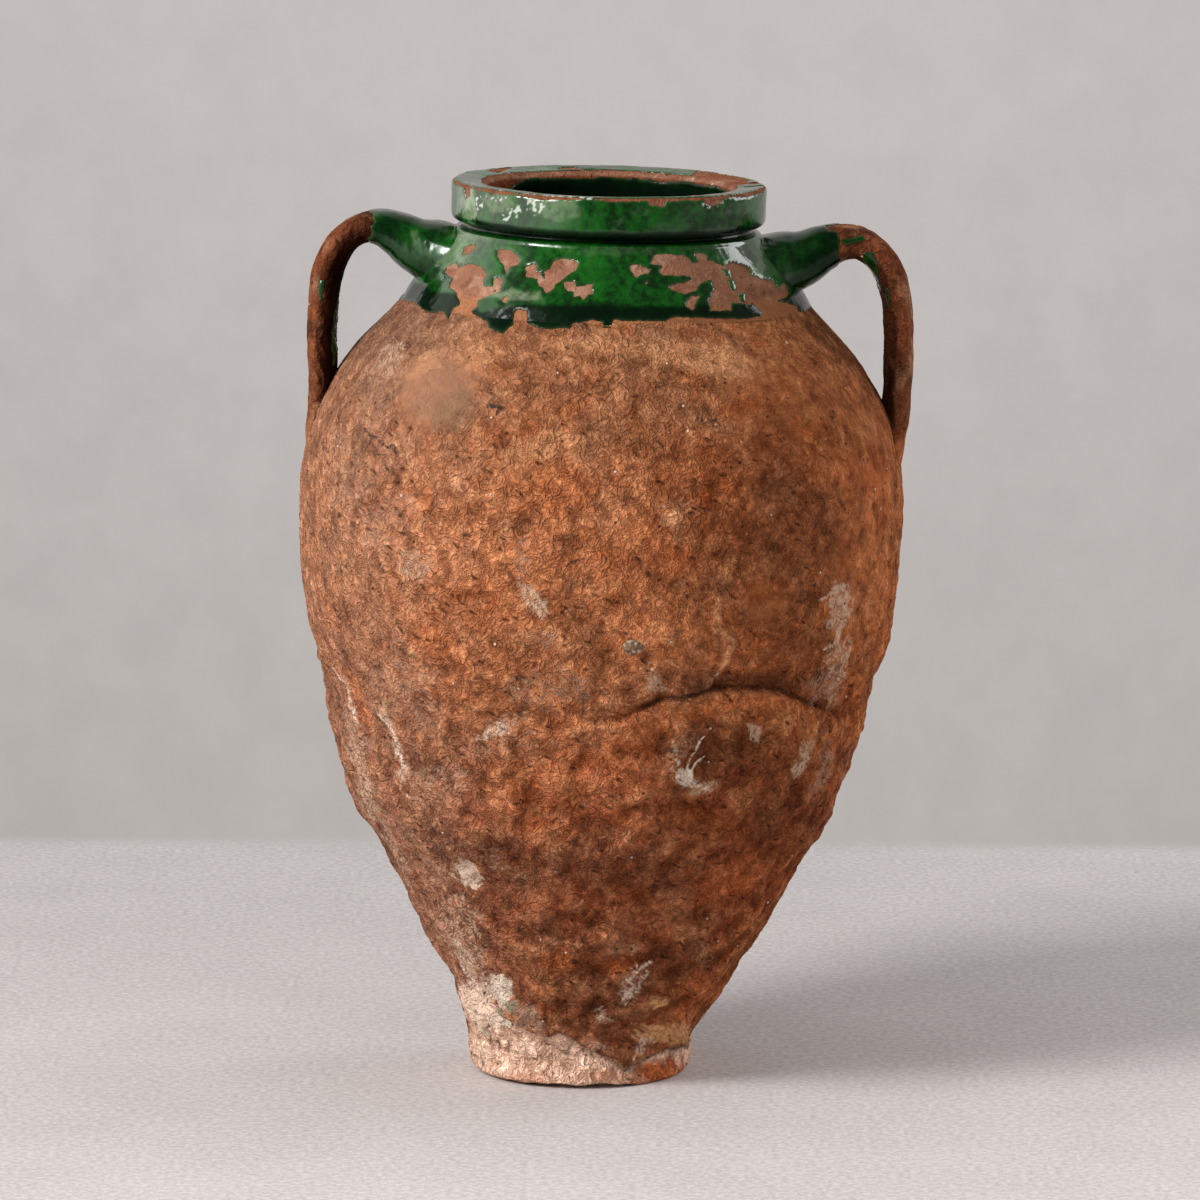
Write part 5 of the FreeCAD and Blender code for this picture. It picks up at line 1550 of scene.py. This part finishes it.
def makeWorld():
    # the wall's grey for what the camera sees, painted darker low down and toward the sides; for what the
    # glaze mirrors, a painted reflection, darker in front with a bright window at the left and light behind
    # and to the right, lighting nothing else; plain light else
    look = stageLook
    world = bpy.data.worlds.new("studio")
    world.use_nodes = True
    tree = world.node_tree
    tree.nodes.clear()
    toward = addNode(tree, "ShaderNodeTexCoord").outputs["Generated"]
    parts = addNode(tree, "ShaderNodeSeparateXYZ", {}, {0: toward}).outputs
    path = addNode(tree, "ShaderNodeLightPath").outputs
    mottle = noiseNode(tree, toward, 110, 6.0, 0.65)["Fac"]
    level = addScaled(tree, mottle, 0.03, parts["Z"])
    grey = mixColour(tree, spread(tree, level, *look["wallRise"]), colourOf(look["wallLow"]),
                     colourOf(look["wallHigh"]))
    plaster = times(tree, spread(tree, mottle, *look["wallMottle"]),
                    spread(tree, mathNode(tree, "ABSOLUTE", parts["X"]), *look["wallSides"]))
    # painted reflection: a window and light behind and to the right, seen only in the glaze
    window = times(tree, spread(tree, parts["X"], *look["windowAcross"]),
                   spread(tree, parts["Z"], *look["windowUp"]))
    behind = mathNode(tree, "MAXIMUM", spread(tree, parts["Y"], *look["behindLight"]),
                      spread(tree, parts["X"], *look["rightLight"]))
    front = addScaled(tree, window, look["windowLight"], look["frontDark"])
    mirrored = backdrop(tree, colourOf(look["wallHigh"]), mathNode(tree, "MAXIMUM", front, behind))
    glossy = mathNode(tree, "MAXIMUM", path["Is Glossy Ray"], path["Is Transmission Ray"])
    lit = mixLight(tree, glossy, backdrop(tree, (1, 1, 1, 1), look["sky"]), mirrored)
    whole = mixLight(tree, path["Is Camera Ray"], lit, backdrop(tree, grey, plaster))
    output = addNode(tree, "ShaderNodeOutputWorld")
    tree.links.new(whole, output.inputs["Surface"])
    bpy.context.scene.world = world


def makeLamps():
    for name, (spot, size, power) in lampLooks.items():
        lamp = bpy.data.lights.new(name, "AREA")
        lamp.shape = "RECTANGLE"
        lamp.size, lamp.size_y = size
        lamp.energy = power
        holder = bpy.data.objects.new(name, lamp)
        holder.location = spot
        holder.rotation_euler = (Vector((0, 0, 0.3)) - holder.location).to_track_quat("-Z", "Y").to_euler()
        bpy.context.scene.collection.objects.link(holder)


# Build

makeCamera()
clayMaterial = makeClayMaterial("terracotta", clayLook)
glazeMaterial = makeGlazeMaterial("greenGlaze", glazeLook)
stoneMaterial = makeClayMaterial("wallGrit", {**clayLook, "bumpDepth": 0.0005})
wall = wallSurface()
makeFoot(wall, clayMaterial)
for wallName, wallNode, number in (("lowerWall", "lower_wall", 1), ("bellyWall", "belly_wall", 2),
                                   ("shoulderWall", "shoulder_wall", 3)):
    makeWallRing(wallName, wallNode, wall, wall["starts"][number], wall["starts"][number + 1], clayMaterial)
makeNeckClay(clayMaterial)
makeRimClay(clayMaterial)
for handleSide in ("left", "right"):
    handleSkin = makeHandle(handleSide, clayMaterial)
    makeHandleGlaze(handleSide, handleSkin, glazeMaterial)
makeNeckGlaze(glazeMaterial)
makeRimGlaze(glazeMaterial)
makeMouthGlaze(glazeMaterial)
makeStone(stoneMaterial)
makeGround()
makeWorld()
makeLamps()
bpy.context.scene.view_settings.view_transform = "Standard"
print("jar dressed")
